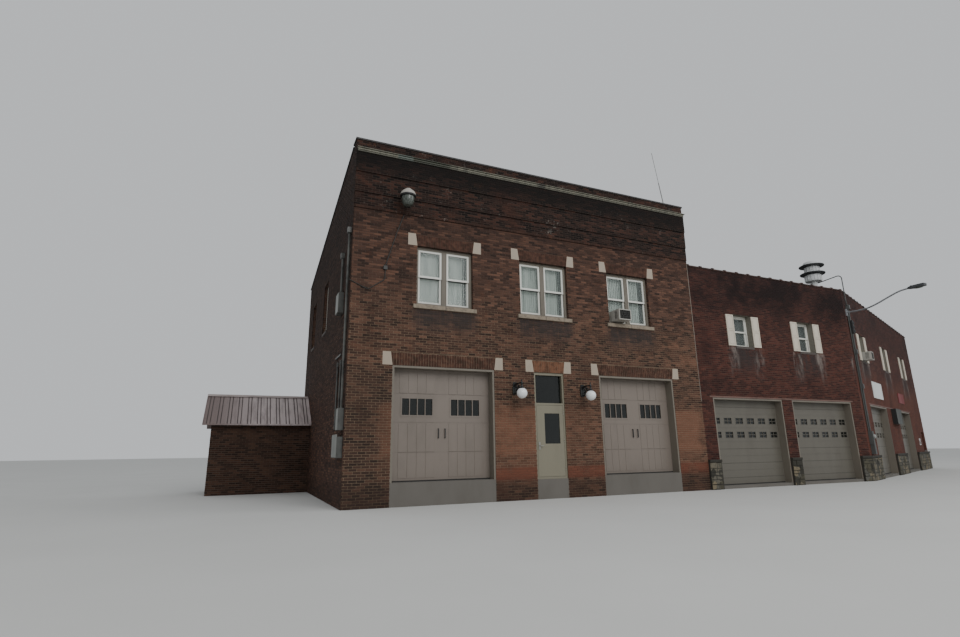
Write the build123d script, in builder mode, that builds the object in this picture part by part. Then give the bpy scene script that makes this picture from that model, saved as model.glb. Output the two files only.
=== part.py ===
from build123d import *
import os
from collections import namedtuple
from math import atan2, cos, degrees, pi, radians, sin, tan

# Fire station: a two-storey main block, a lower wing with an angled end, and a small annex.
# Lengths are millimetres. +X runs along the street front, +Y into the building, +Z up.
# The origin is the middle of the main block's plan, on the underside of its raised floor.

# Levels above the lowest ground
main_floor_z = 600
wing_floor_z = 100

# Main block
main_width = 12250
main_depth = 9850
main_wall = 400
main_head = 3078
upper_floor_top = 3900
upper_floor_thick = 300
belt_height = 7520
frieze_step_heights = (480, 620)
frieze_step = 28
cornice_rise = 1710
cornice_height = 200
cornice_reach = 115
cornice_end_reach = 50
cornice_nose = 56
cornice_bead = 44
parapet_height = 9690
side_parapet_drop = 1830
coping_thick = 50
coping_overhang = 30
roof_thick = 180
roof_below_parapet = 320

# Sectional doors and their linings
garage_width = 3050
garage_offset = 3375
garage_setback = 300
garage_seam_heights = (760, 1560, 2340)
lining_face = 60
lining_recess = 8
door_thick = 50
fit_gap = 3
groove_width = 12
groove_depth = 6
lite_width = 200
lite_height = 450
lite_pitch = 225
lite_sill = 1760
lites_per_group = 4
lite_group_offset = 715
lite_trim_face = 45
lite_trim_proud = 8
glass_thick = 8
pull_offset = 98
pull_foot = 1135
pull_length = 265
pull_reach = 45
pull_width = 22

# Entrance
entrance_width = 1050
entrance_step_drop = 46
frame_depth = 150
frame_recess = 30
leaf_width = 918
leaf_height = 2070
leaf_thick = 45
leaf_lift = 20
leaf_recess = frame_recess
leaf_gap = 7
hinge_radius = 8
hinge_knuckle = 32
hinge_play = 0.3
hinge_heights = (220, 1035, 1850)
transom_bar = 60
transom_rise = 3000
transom_glass_inward = 105
leaf_light_width = 520
leaf_light_height = 890
leaf_light_sill = 960
leaf_light_shift = 65
handle_height = 900
handle_inset = 30
handle_plate_width = 60
handle_plate_height = 220
handle_plate_thick = 12
lever_size = 20
lever_reach = 60
lever_length = 120

# Windows of the main block
window_width = 1745
window_height = 1771
window_sill_height = 4846
window_spacing = 3340
window_shift = -40
window_setback = 110
window_frame_face = 75
mullion_width = 150
window_frame_depth = 130
sash_rail = 60
sash_thick = 35
sash_inset = 20
sill_height = 115
sill_reach = 55
sill_ear = 100
side_window_width = 950
side_window_from_front = (4750, 7900)

# Flat arches between slanted head stones
stone_foot = 280
stone_top = 228
stone_height = 365
stone_depth = 100
stone_proud = 8

# Wing
wing_width = 8750
wing_depth = 9000
wing_wall = 330
wing_head = 3010
wing_top = 7920
wing_upper_floor_top = 4000
wing_upper_floor_thick = 250
wing_roof_top = 7500
wing_roof_thick = 200
wing_angle = 20.5
angled_length = 15600
wing_first_pier = 550
wing_middle_pier = 540
wing_corner_pier = 620
wing_door_setback = 280
angled_door_starts = (1800, 8100)
angled_door_width = 3600
tile_thick = 90
tile_overhang = 35

# Lites of the wing's doors, in two of the six sections of each door
door_sections = 6
lite_sections = (3, 4)
wing_lite_count = 6
wing_lite_width = 360
wing_lite_height = 205
wing_lite_margin = 90

# Upper windows of the wing
wing_window_from_main = 2490
wing_window_from_corner = 2745
angled_window_centres = (2300, 7250, 12200)
wing_rear_window_places = (1900, 5200)
angled_rear_window_places = (3800, 8300, 12800)
end_wall_window_places = (2900, 6100)
wing_window_width = 950
wing_window_height = 1220
wing_window_sill = 5050
wing_window_setback = 230
slim_frame_face = 45
slim_frame_depth = 100
slim_sash_inset = 15
slim_sill_height = 90
slim_sill_reach = 18
shutter_width = 370
shutter_height = 1190
shutter_thick = 35
shutter_rail = 45
shutter_panel_recess = 12

# Small street window near the far end of the wing
end_window_from_end = 800
end_window_width = 800
end_window_height = 1030
end_window_sill = 1070

# Rubble stone bases of the wing's piers
base_top = 980
base_proud = 70
base_cap_height = 80
base_cap_reach = 30

# Annex
annex_length = 3330
annex_front_from_front = 7100
annex_wall = 250
annex_eave_height = 2550
annex_ridge_height = 3500
annex_overhang = 280
annex_roof_thick = 50
annex_rib_width = 30
annex_rib_height = 20
annex_rib_count = 12

# Tubes and round bodies are drawn with flat sides
tube_sides = 8
round_sides = 24

# Globe lamps beside the entrance
lamp_offset = 1190
lamp_reach = 450
globe_radius = 155
globe_height = 2380
globe_cut = 70
globe_step = 15
lamp_arm_height = 2690
lamp_arm_radius = 16
lamp_arm_bend = 90
lamp_plate_width = 140
lamp_plate_height = 380
lamp_plate_rise = 60
lamp_plate_thick = 25
lamp_cap_radius = 62
lamp_cap_height = 40

# Flood lamp near the left end of the frieze, with its conduit and junction box
flood_from_corner = 1450
flood_reach = 400
flood_height = 7950
flood_hood_radius = 225
flood_hood_rise = 200
flood_hood_crown = 95
flood_rim = 50
flood_bowl_radius = 175
flood_bowl_drop = 330
flood_arm_radius = 24
flood_arm_rise = 130
flood_plate_size = 120
flood_plate_thick = 20
conduit_radius = 14
conduit_clear = 4
conduit_bend = 140
conduit_slack = 200
conduit_fall = 600
conduit_loop_drop = 680
conduit_corner_drop = 445
junction_from_corner = 940
junction_height = 5810
junction_size = 110
junction_depth = 60

# Service fittings on the left wall, measured back from the front corner
riser_radius = 32
riser_standoff = 55
riser_from_front = 200
riser_top = 6790
riser_hood_size = 120
riser_hood_height = 160
meter_foot = 1340
meter_height = 560
meter_width = 300
meter_depth = 155
panel_foot = 650
panel_height = 600
panel_width = 750
second_riser_from_front = 1150
second_riser_top = 6950
white_box_foot = 5250
white_box_height = 600
white_box_width = 450
white_box_depth = 150
low_pipe_places = (750, 1250)
low_pipe_foot = 2000
low_pipe_top = 3850
low_pipe_radius = 26
strut_start = 800
strut_end = 1650
strut_height = 4000
strut_size = 45

# Antenna on the right end of the front parapet
antenna_from_corner = 605
antenna_from_face = 200
antenna_lean = 0.165
antenna_foot_radius = 17
antenna_whip_radius = 9
antenna_joint_height = 10650
antenna_top_height = 11880
antenna_plate_size = 100
antenna_plate_thick = 24

# Siren on the wing roof, near the corner
siren_along = 410
siren_inward = 1020
siren_disc_radius = 510
siren_disc_thick = 55
siren_drum_radius = 330
siren_throat_radius = 270
siren_flare = 60
siren_disc_levels = (9050, 9420)
siren_top = 9650
siren_skirt = 380
siren_fin_count = 8
siren_fin_thick = 14
siren_fin_reach = 60
pedestal_radius = 130
pedestal_foot_radius = 300
pedestal_foot_height = 50

# Service mast at the wing's corner, and the conduit to it over the parapet
mast_along = 500
mast_radius = 36
mast_standoff = 70
mast_top = 7350
mast_bottom = 1420
mast_box_width = 240
mast_box_height = 540
mast_box_depth = 150
mast_clamp_size = 180
mast_clamp_heights = (3720, 5200)
mast_panel_width = 280
mast_panel_height = 400
over_conduit_radius = 22
over_conduit_rise = 710
over_conduit_bend = 150

# Street lamp at the wing's corner
street_lamp_along = 320
street_lamp_height = 7000
street_lamp_dip = 60
street_lamp_rise = 390
street_lamp_reach = 2500
street_lamp_radius = 32
street_lamp_bend = 380
street_plate_width = 140
street_plate_height = 300
street_plate_thick = 60
street_head_length = 620
street_head_width = 220
street_head_height = 130

# Air conditioners
cooler_width = 490
cooler_height = 360
cooler_reach = 350
cooler_rim = 30
cooler_recess = 25
main_cooler_from_edge = 150
angled_cooler_from_centre = 290

# Derived places
front_y = -main_depth / 2
rear_y = main_depth / 2
left_x = -main_width / 2
right_x = main_width / 2
side_inner_y = front_y + main_wall
rear_inner_y = rear_y - main_wall
main_head_z = main_floor_z + main_head
belt_z = main_floor_z + belt_height
cornice_z = belt_z + cornice_rise
parapet_z = main_floor_z + parapet_height
window_sill_z = main_floor_z + window_sill_height
window_head_z = window_sill_z + window_height
wing_head_z = wing_floor_z + wing_head
corner_x = right_x + wing_width
half_turn = tan(radians(wing_angle / 2))
along_x = cos(radians(wing_angle))
along_y = sin(radians(wing_angle))
garage_centres = (-garage_offset, garage_offset)
window_centres = [window_shift + step * window_spacing for step in (-1, 0, 1)]
wing_door_width = (wing_width - wing_first_pier - wing_middle_pier - wing_corner_pier) / 2
wing_door_starts = (wing_first_pier, wing_first_pier + wing_door_width + wing_middle_pier)
end_window_centre = angled_length - end_window_from_end

# Wall planes: local x runs along each wall, local y goes into it
main_plane = Plane(origin=(0, front_y, 0))
left_plane = Plane(origin=(left_x, front_y, 0), x_dir=(0, -1, 0), z_dir=(0, 0, 1))
rear_plane = Plane(origin=(0, rear_y, 0), x_dir=(-1, 0, 0), z_dir=(0, 0, 1))
wing_plane = Plane(origin=(right_x, front_y, 0))
wing_rear_plane = Plane(origin=(right_x, front_y + wing_depth, 0), x_dir=(-1, 0, 0), z_dir=(0, 0, 1))
angled_plane = Plane(origin=(corner_x, front_y, 0), x_dir=(along_x, along_y, 0), z_dir=(0, 0, 1))
angled_rear_plane = Plane(
    origin=angled_plane.from_local_coords((0, wing_depth, 0)), x_dir=(-along_x, -along_y, 0),
    z_dir=(0, 0, 1),
)
end_plane = Plane(
    origin=angled_plane.from_local_coords((angled_length, 0, 0)), x_dir=(-along_y, along_x, 0),
    z_dir=(0, 0, 1),
)

os.makedirs("parts", exist_ok=True)


def write(builder, name):
    builder.part.label = name
    export_step(builder.part, f"parts/{name}.step")


def block(x0, x1, y0, y1, z0, z1, mode=Mode.ADD):
    """Add or cut a square-edged block between two corners."""
    with Locations(((x0 + x1) / 2, (y0 + y1) / 2, (z0 + z1) / 2)):
        Box(x1 - x0, y1 - y0, z1 - z0, mode=mode)


def prism(plane, points, height, mode=Mode.ADD):
    """Raise a straight-sided outline from a plane."""
    with BuildSketch(plane, mode=Mode.PRIVATE) as outline:
        with BuildLine():
            Polyline(*points, close=True)
        make_face()
    extrude(outline.sketch, amount=height, mode=mode)


def tube(plane, points, radius, bend):
    """Tube along straight runs joined by bends, with its points in a plane's own frame."""
    spots = [plane.from_local_coords(point) for point in points]
    with BuildLine(mode=Mode.PRIVATE) as route:
        if len(spots) == 2:
            Line(*spots)
        else:
            FilletPolyline(*spots, radius=bend)
    path = route.line
    with BuildSketch(Plane(origin=path @ 0, z_dir=path % 0), mode=Mode.PRIVATE) as section:
        RegularPolygon(radius, tube_sides)
    sweep(section.sketch, path=path)


def turned(centre, outline):
    """Round body in flat-sided bands, from radius and height pairs going up."""
    x, y, z = centre
    for (foot_radius, low), (head_radius, high) in zip(outline, outline[1:]):
        if high > low:
            with BuildSketch(Plane(origin=(x, y, z + low)), mode=Mode.PRIVATE) as ring:
                RegularPolygon(foot_radius, round_sides)
            lean = (foot_radius - head_radius) * cos(pi / round_sides)
            extrude(ring.sketch, amount=high - low, taper=degrees(atan2(lean, high - low)))


def angled_point(along, inward):
    """Turn a place on the angled front into the part's own plan."""
    spot = angled_plane.from_local_coords((along, inward, 0))
    return (spot.X, spot.Y)


def side_top(y):
    """Height of the main block's side parapets, which fall in a straight line to the rear."""
    return parapet_z - side_parapet_drop * (y - front_y) / main_depth


# Single windows: each has a wall plane, a centre along the wall, a size and a setback
Window = namedtuple("Window", "plane centre width foot height setback")


def side_windows(plane, centres):
    return [
        Window(plane, centre, side_window_width, window_sill_z, window_height, window_setback)
        for centre in centres
    ]


def wing_windows(plane, centres):
    return [
        Window(
            plane, centre, wing_window_width, wing_window_sill, wing_window_height, wing_window_setback,
        )
        for centre in centres
    ]


left_windows = side_windows(left_plane, [-place for place in side_window_from_front])
rear_windows = side_windows(rear_plane, [-centre for centre in window_centres])
wing_front_windows = wing_windows(
    wing_plane, (wing_window_from_main, wing_width - wing_window_from_corner),
)
angled_front_windows = wing_windows(angled_plane, angled_window_centres)
wing_rear_windows = wing_windows(wing_rear_plane, [-place for place in wing_rear_window_places])
angled_rear_windows = wing_windows(angled_rear_plane, [-place for place in angled_rear_window_places])
end_wall_windows = wing_windows(end_plane, end_wall_window_places)
end_window = Window(
    angled_plane, end_window_centre, end_window_width, end_window_sill, end_window_height,
    wing_window_setback,
)
street_wing_windows = wing_front_windows + angled_front_windows
back_wing_windows = wing_rear_windows + angled_rear_windows + end_wall_windows
single_windows = left_windows + rear_windows + street_wing_windows + back_wing_windows + [end_window]


def window_holes(windows, depth):
    """Cut each window through a wall, and the bed of its thin sill."""
    for window in windows:
        left = window.centre - window.width / 2
        right = window.centre + window.width / 2
        with Locations(window.plane):
            block(left, right, 0, depth, window.foot, window.foot + window.height, Mode.SUBTRACT)
            block(
                left, right, 0, window.setback, window.foot - slim_sill_height, window.foot, Mode.SUBTRACT,
            )


# Ground floors, each with a threshold through every doorway
wing_inner_corner = (corner_x - wing_wall * half_turn, front_y + wing_wall)
wing_rear_corner = (corner_x - wing_depth * half_turn, front_y + wing_depth)
wing_rear_inner = (corner_x - (wing_depth - wing_wall) * half_turn, front_y + wing_depth - wing_wall)
wing_inside = (
    (right_x, front_y + wing_wall), wing_inner_corner,
    angled_point(angled_length - wing_wall, wing_wall),
    angled_point(angled_length - wing_wall, wing_depth - wing_wall),
    wing_rear_inner, (right_x, wing_rear_inner[1]),
)
with BuildPart() as ground_floors:
    block(left_x + main_wall, right_x - main_wall, side_inner_y, rear_inner_y, 0, main_floor_z)
    with Locations(main_plane):
        for centre in garage_centres:
            block(centre - garage_width / 2, centre + garage_width / 2, 0, main_wall, 0, main_floor_z)
        block(
            -entrance_width / 2, entrance_width / 2, 0, main_wall, 0, main_floor_z - entrance_step_drop,
        )
    prism(Plane.XY, wing_inside, wing_floor_z)
    with Locations(wing_plane):
        for start in wing_door_starts:
            block(start, start + wing_door_width, 0, wing_wall, 0, wing_floor_z)
    with Locations(angled_plane):
        for start in angled_door_starts:
            block(start, start + angled_door_width, 0, wing_wall, 0, wing_floor_z)
write(ground_floors, "ground_floors")

with BuildPart() as upper_floors:
    top = main_floor_z + upper_floor_top
    block(
        left_x + main_wall, right_x - main_wall, side_inner_y, rear_inner_y, top - upper_floor_thick, top,
    )
    prism(
        Plane.XY.offset(wing_upper_floor_top - wing_upper_floor_thick), wing_inside,
        wing_upper_floor_thick,
    )
write(upper_floors, "upper_floors")

# The main roof falls with the side walls; the wing's roof is level
with BuildPart() as flat_roofs:
    outline = []
    for y, below in ((side_inner_y, 0), (rear_y, 0), (rear_y, roof_thick), (side_inner_y, roof_thick)):
        outline.append((y, side_top(y) - roof_below_parapet - below))
    prism(Plane.YZ.offset(left_x + main_wall), outline, main_width - 2 * main_wall)
    prism(Plane.XY.offset(wing_roof_top - wing_roof_thick), wing_inside, wing_roof_thick)
write(flat_roofs, "flat_roofs")

# Piers beside the main block's street doorways
pier_edges = (
    (left_x, -garage_offset - garage_width / 2),
    (-garage_offset + garage_width / 2, -entrance_width / 2),
    (entrance_width / 2, garage_offset - garage_width / 2),
    (garage_offset + garage_width / 2, right_x),
)
with BuildPart() as front_piers:
    for start, end in pier_edges:
        block(start, end, front_y, side_inner_y, 0, main_head_z)
write(front_piers, "front_piers")

# Flat arches over the street openings, each between two slanted head stones
arch_places = [(centre, garage_width, main_head_z) for centre in garage_centres]
arch_places += [(0, entrance_width, main_head_z)]
arch_places += [(centre, window_width, window_head_z) for centre in window_centres]
arch_lean = stone_foot - stone_top

with BuildPart() as head_stones:
    for centre, width, head in arch_places:
        for side in (-1, 1):
            edge = centre + side * width / 2
            foot = edge + side * stone_foot
            outline = (
                (edge, head), (foot, head), (foot, head + stone_height),
                (edge + side * arch_lean, head + stone_height),
            )
            prism(Plane.XZ.offset(-front_y - stone_depth), outline, stone_depth + stone_proud)
write(head_stones, "head_stones")

with BuildPart() as flat_arches:
    for centre, width, head in arch_places:
        foot = width / 2
        top = foot + arch_lean
        outline = (
            (centre - foot, head), (centre + foot, head),
            (centre + top, head + stone_height), (centre - top, head + stone_height),
        )
        prism(Plane.XZ.offset(-front_y - stone_depth), outline, stone_depth)
write(flat_arches, "flat_arches")

# Front wall over the doorways, with its window openings and the beds of arches and sills
with BuildPart() as front_wall:
    block(left_x, right_x, front_y, side_inner_y, main_head_z, belt_z)
    with Locations(main_plane):
        for centre, width, head in arch_places:
            reach = width / 2 + stone_foot
            block(centre - reach, centre + reach, 0, stone_depth, head, head + stone_height, Mode.SUBTRACT)
        for centre in window_centres:
            half = window_width / 2
            block(
                centre - half, centre + half, 0, main_wall,
                window_sill_z - sill_height, window_head_z, Mode.SUBTRACT,
            )
            block(
                centre - half - sill_ear, centre + half + sill_ear, 0, window_setback,
                window_sill_z - sill_height, window_sill_z, Mode.SUBTRACT,
            )
write(front_wall, "front_wall")

# Corbelled frieze and parapet: each projecting course stands further out
frieze_levels = [belt_z]
for step_height in frieze_step_heights:
    frieze_levels.append(frieze_levels[-1] + step_height)
frieze_reach = frieze_step * len(frieze_levels)
with BuildPart() as frieze:
    outline = [(side_inner_y, belt_z), (front_y - frieze_step, belt_z)]
    for course, level in enumerate(frieze_levels[1:], start=1):
        outline.append((front_y - frieze_step * course, level))
        outline.append((front_y - frieze_step * (course + 1), level))
    outline += [
        (front_y - frieze_reach, cornice_z), (front_y - frieze_step, cornice_z + cornice_height),
        (front_y - frieze_step, parapet_z - coping_thick), (side_inner_y, parapet_z - coping_thick),
    ]
    prism(Plane.YZ.offset(left_x), outline, main_width)
write(frieze, "frieze")

# Moulded cornice on the frieze: a nose over a cove, with a bead at the foot
with BuildPart() as cornice:
    with BuildSketch(Plane.YZ.offset(left_x - cornice_end_reach)):
        with BuildLine():
            foot = (front_y - frieze_reach, cornice_z)
            top = (front_y - frieze_step, cornice_z + cornice_height)
            lip = (front_y - frieze_reach - cornice_reach, cornice_z + cornice_height)
            nose = (lip[0], lip[1] - cornice_nose)
            bead_y = foot[0] - cornice_bead
            cove = (bead_y, cornice_z + 2 * cornice_bead)
            bead = (bead_y, cornice_z + cornice_bead)
            Line(foot, top)
            Line(top, lip)
            Line(lip, nose)
            RadiusArc(nose, cove, cornice_height / 2)
            Line(cove, bead)
            RadiusArc(bead, foot, cornice_bead)
        make_face()
    extrude(amount=main_width + 2 * cornice_end_reach)
write(cornice, "cornice")


def side_wall(start_x):
    outline = (
        (side_inner_y, 0), (rear_y, 0), (rear_y, side_top(rear_y) - coping_thick),
        (side_inner_y, side_top(side_inner_y) - coping_thick),
    )
    prism(Plane.YZ.offset(start_x), outline, main_wall)


with BuildPart() as side_walls:
    side_wall(left_x)
    side_wall(right_x - main_wall)
    window_holes(left_windows, main_wall)
write(side_walls, "side_walls")

with BuildPart() as rear_wall:
    outline = [(rear_inner_y, 0), (rear_y, 0)]
    outline += [(y, side_top(y) - roof_below_parapet - roof_thick) for y in (rear_y, rear_inner_y)]
    prism(Plane.YZ.offset(left_x + main_wall), outline, main_width - 2 * main_wall)
    window_holes(rear_windows, main_wall)
write(rear_wall, "rear_wall")

# Thin copings on the front and side parapets, with an open joint at each corner
with BuildPart() as parapet_coping:
    block(
        left_x - coping_overhang, right_x + coping_overhang,
        front_y - frieze_step - coping_overhang, side_inner_y, parapet_z - coping_thick, parapet_z,
    )
    joint_y = side_inner_y + fit_gap
    for start in (left_x - coping_overhang, right_x - main_wall):
        outline = (
            (joint_y, side_top(joint_y) - coping_thick), (rear_y, side_top(rear_y) - coping_thick),
            (rear_y, side_top(rear_y)), (joint_y, side_top(joint_y)),
        )
        prism(Plane.YZ.offset(start), outline, main_wall + coping_overhang)
write(parapet_coping, "parapet_coping")


def lining(start, width, floor_z, head_z, depth):
    """Two jambs and a head round a doorway."""
    block(start, start + width, lining_recess, depth, floor_z, head_z)
    block(
        start + lining_face, start + width - lining_face, lining_recess, depth,
        floor_z, head_z - lining_face, Mode.SUBTRACT,
    )


with BuildPart() as door_linings:
    with Locations(main_plane):
        for centre in garage_centres:
            lining(centre - garage_width / 2, garage_width, main_floor_z, main_head_z, main_wall)
    with Locations(wing_plane):
        for start in wing_door_starts:
            lining(start, wing_door_width, wing_floor_z, wing_head_z, wing_wall)
    with Locations(angled_plane):
        for start in angled_door_starts:
            lining(start, angled_door_width, wing_floor_z, wing_head_z, wing_wall)
write(door_linings, "door_linings")


def lite_starts(centre):
    """Left edges of the upright lites, in two groups either side of a door's middle."""
    group_width = (lites_per_group - 1) * lite_pitch + lite_width
    starts = []
    for side in (-1, 1):
        first = centre + side * lite_group_offset - group_width / 2
        starts += [first + step * lite_pitch for step in range(lites_per_group)]
    return starts


# Sectional doors of the main block, with seams and a raised trim round each group of lites
lite_foot = main_floor_z + lite_sill
lite_head = lite_foot + lite_height
door_half = garage_width / 2 - lining_face - fit_gap
with BuildPart() as garage_doors:
    with Locations(main_plane):
        for centre in garage_centres:
            block(
                centre - door_half, centre + door_half, garage_setback, garage_setback + door_thick,
                main_floor_z, main_head_z - lining_face - fit_gap,
            )
            for seam in garage_seam_heights:
                block(
                    centre - door_half, centre + door_half, garage_setback, garage_setback + groove_depth,
                    main_floor_z + seam - groove_width / 2, main_floor_z + seam + groove_width / 2,
                    Mode.SUBTRACT,
                )
            starts = lite_starts(centre)
            for group in (starts[:lites_per_group], starts[lites_per_group:]):
                block(
                    group[0] - lite_trim_face, group[-1] + lite_width + lite_trim_face,
                    garage_setback - lite_trim_proud, garage_setback + groove_depth,
                    lite_foot - lite_trim_face, lite_head + lite_trim_face,
                )
            for start in starts:
                block(
                    start, start + lite_width, garage_setback - lite_trim_proud,
                    garage_setback + door_thick, lite_foot, lite_head, Mode.SUBTRACT,
                )
write(garage_doors, "garage_doors")

# Two upright pulls on each door of the main block, each a bar on two posts
with BuildPart() as garage_handles:
    pull_z = main_floor_z + pull_foot
    bar_y = garage_setback - pull_reach
    with Locations(main_plane):
        for centre in garage_centres:
            for side in (-1, 1):
                left = centre + side * pull_offset - pull_width / 2
                block(left, left + pull_width, bar_y, bar_y + pull_width, pull_z, pull_z + pull_length)
                for foot in (pull_z, pull_z + pull_length - pull_width):
                    block(left, left + pull_width, bar_y, garage_setback, foot, foot + pull_width)
write(garage_handles, "garage_handles")

wing_section = (wing_head - lining_face - fit_gap) / door_sections


def wing_lites(start, width):
    """Left edge and foot of each lite in a wing door."""
    first = start + lining_face + fit_gap + wing_lite_margin
    pitch = (width - 2 * (lining_face + fit_gap + wing_lite_margin) - wing_lite_width) / (wing_lite_count - 1)
    return [
        (first + step * pitch, wing_floor_z + (section + 0.5) * wing_section - wing_lite_height / 2)
        for section in lite_sections
        for step in range(wing_lite_count)
    ]


def ribbed_door(start, width):
    """Sectional door with a seam at each section and a groove along each plain section's middle."""
    left = start + lining_face + fit_gap
    right = start + width - lining_face - fit_gap
    back = wing_door_setback + door_thick
    block(left, right, wing_door_setback, back, wing_floor_z, wing_floor_z + door_sections * wing_section)
    seams = list(range(1, door_sections))
    middles = [section + 0.5 for section in range(door_sections) if section not in lite_sections]
    for place in seams + middles:
        level = wing_floor_z + place * wing_section
        block(
            left, right, wing_door_setback, wing_door_setback + groove_depth,
            level - groove_width / 2, level + groove_width / 2, Mode.SUBTRACT,
        )
    for lite_left, foot in wing_lites(start, width):
        block(
            lite_left, lite_left + wing_lite_width, wing_door_setback, back,
            foot, foot + wing_lite_height, Mode.SUBTRACT,
        )


with BuildPart() as wing_doors:
    with Locations(wing_plane):
        for start in wing_door_starts:
            ribbed_door(start, wing_door_width)
    with Locations(angled_plane):
        for start in angled_door_starts:
            ribbed_door(start, angled_door_width)
write(wing_doors, "wing_doors")

# Glass of all the door lites and of the light over the entrance
leaf_z = main_floor_z + leaf_lift
transom_z = leaf_z + leaf_height + leaf_gap
frame_inner_half = leaf_width / 2 + leaf_gap


def wing_glass(start, width):
    middle = wing_door_setback + door_thick / 2
    for left, foot in wing_lites(start, width):
        block(
            left, left + wing_lite_width, middle - glass_thick / 2, middle + glass_thick / 2,
            foot, foot + wing_lite_height,
        )


with BuildPart() as door_glass:
    with Locations(main_plane):
        middle = garage_setback + door_thick / 2
        for centre in garage_centres:
            for start in lite_starts(centre):
                block(
                    start, start + lite_width, middle - glass_thick / 2, middle + glass_thick / 2,
                    lite_foot, lite_head,
                )
        middle = frame_recess + transom_glass_inward
        block(
            -frame_inner_half, frame_inner_half, middle - glass_thick / 2, middle + glass_thick / 2,
            transom_z + transom_bar, main_floor_z + transom_rise,
        )
    with Locations(wing_plane):
        for start in wing_door_starts:
            wing_glass(start, wing_door_width)
    with Locations(angled_plane):
        for start in angled_door_starts:
            wing_glass(start, angled_door_width)
write(door_glass, "door_glass")

# Entrance frame with its light over the leaf
with BuildPart() as entrance_frame:
    with Locations(main_plane):
        back = frame_recess + frame_depth
        block(
            -entrance_width / 2, entrance_width / 2, frame_recess, back,
            main_floor_z - entrance_step_drop, main_head_z,
        )
        for foot, head in (
            (leaf_z - leaf_gap, transom_z), (transom_z + transom_bar, main_floor_z + transom_rise),
        ):
            block(-frame_inner_half, frame_inner_half, frame_recess, back, foot, head, Mode.SUBTRACT)
write(entrance_frame, "entrance_frame")

# Entrance leaf, hung on its right edge and opening outwards
light_z = main_floor_z + leaf_light_sill
hinge_x = leaf_width / 2 + leaf_gap / 2
hinge_y = leaf_recess - hinge_radius


def knuckle(toward, low, high):
    """One knuckle of a hinge, with the web that fastens it to the face on that side."""
    with Locations((hinge_x, hinge_y, (low + high) / 2)):
        Cylinder(hinge_radius, high - low)
    web_end = hinge_x + toward * 2 * hinge_radius
    block(min(hinge_x, web_end), max(hinge_x, web_end), hinge_y, leaf_recess, low, high)


with BuildPart() as entrance_door:
    with Locations(main_plane):
        back = leaf_recess + leaf_thick
        block(-leaf_width / 2, leaf_width / 2, leaf_recess, back, leaf_z, leaf_z + leaf_height)
        block(
            leaf_light_shift - leaf_light_width / 2, leaf_light_shift + leaf_light_width / 2,
            leaf_recess, back, light_z, light_z + leaf_light_height, Mode.SUBTRACT,
        )
        for height in hinge_heights:
            knuckle(-1, leaf_z + height - hinge_knuckle / 2, leaf_z + height + hinge_knuckle / 2)
write(entrance_door, "entrance_door")

# Frame halves of the three hinges, above and below each knuckle of the leaf
with BuildPart() as entrance_hinges:
    with Locations(main_plane):
        near = hinge_knuckle / 2 + hinge_play
        far = near + hinge_knuckle
        for height in hinge_heights:
            knuckle(1, leaf_z + height + near, leaf_z + height + far)
            knuckle(1, leaf_z + height - far, leaf_z + height - near)
write(entrance_hinges, "entrance_hinges")

with BuildPart() as entrance_door_glass:
    with Locations(main_plane):
        middle = leaf_recess + leaf_thick / 2
        block(
            leaf_light_shift - leaf_light_width / 2, leaf_light_shift + leaf_light_width / 2,
            middle - glass_thick / 2, middle + glass_thick / 2, light_z, light_z + leaf_light_height,
        )
write(entrance_door_glass, "entrance_door_glass")

# Lever handle on its plate, near the leaf's free edge
with BuildPart() as entrance_handle:
    with Locations(main_plane):
        handle_z = main_floor_z + handle_height
        plate_x = -leaf_width / 2 + handle_inset
        plate_y = leaf_recess - handle_plate_thick
        lever_x = plate_x + (handle_plate_width - lever_size) / 2
        lever_y = plate_y - lever_reach
        block(
            plate_x, plate_x + handle_plate_width, plate_y, leaf_recess,
            handle_z - handle_plate_height / 2, handle_z + handle_plate_height / 2,
        )
        for end_x, end_y in ((lever_x + lever_size, plate_y), (lever_x + lever_length, lever_y + lever_size)):
            block(lever_x, end_x, lever_y, end_y, handle_z - lever_size / 2, handle_z + lever_size / 2)
write(entrance_handle, "entrance_handle")

# Stone sills under the main block's street windows
with BuildPart() as window_sills:
    with Locations(main_plane):
        for centre in window_centres:
            half = window_width / 2 + sill_ear
            block(
                centre - half, centre + half, -sill_reach, window_setback,
                window_sill_z - sill_height, window_sill_z,
            )
write(window_sills, "window_sills")

# Frames of the paired windows, each with a wide mullion
frame_back = window_setback + window_frame_depth
sash_width = (window_width - 2 * window_frame_face - mullion_width) / 2


def paired_starts(centre):
    """Left edges of a paired window's two sashes."""
    return (centre - window_width / 2 + window_frame_face, centre + mullion_width / 2)


with BuildPart() as main_window_frames:
    with Locations(main_plane):
        for centre in window_centres:
            block(
                centre - window_width / 2, centre + window_width / 2, window_setback, frame_back,
                window_sill_z, window_head_z,
            )
            for start in paired_starts(centre):
                block(
                    start, start + sash_width, window_setback, frame_back,
                    window_sill_z + window_frame_face, window_head_z - window_frame_face, Mode.SUBTRACT,
                )
write(main_window_frames, "main_window_frames")

with BuildPart() as single_window_frames:
    for window in single_windows:
        with Locations(window.plane):
            half = window.width / 2
            back = window.setback + slim_frame_depth
            head = window.foot + window.height
            block(window.centre - half, window.centre + half, window.setback, back, window.foot, head)
            half -= slim_frame_face
            block(
                window.centre - half, window.centre + half, window.setback, back,
                window.foot + slim_frame_face, head - slim_frame_face, Mode.SUBTRACT,
            )
write(single_window_frames, "single_window_frames")


def sash_levels(foot, head, front):
    """Foot, head and front of the upper sash in the outer track and the lower one behind it."""
    middle = (foot + head) / 2
    return (
        (middle - sash_rail / 2, head, front),
        (foot, middle + sash_rail / 2, front + sash_thick + fit_gap),
    )


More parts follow.
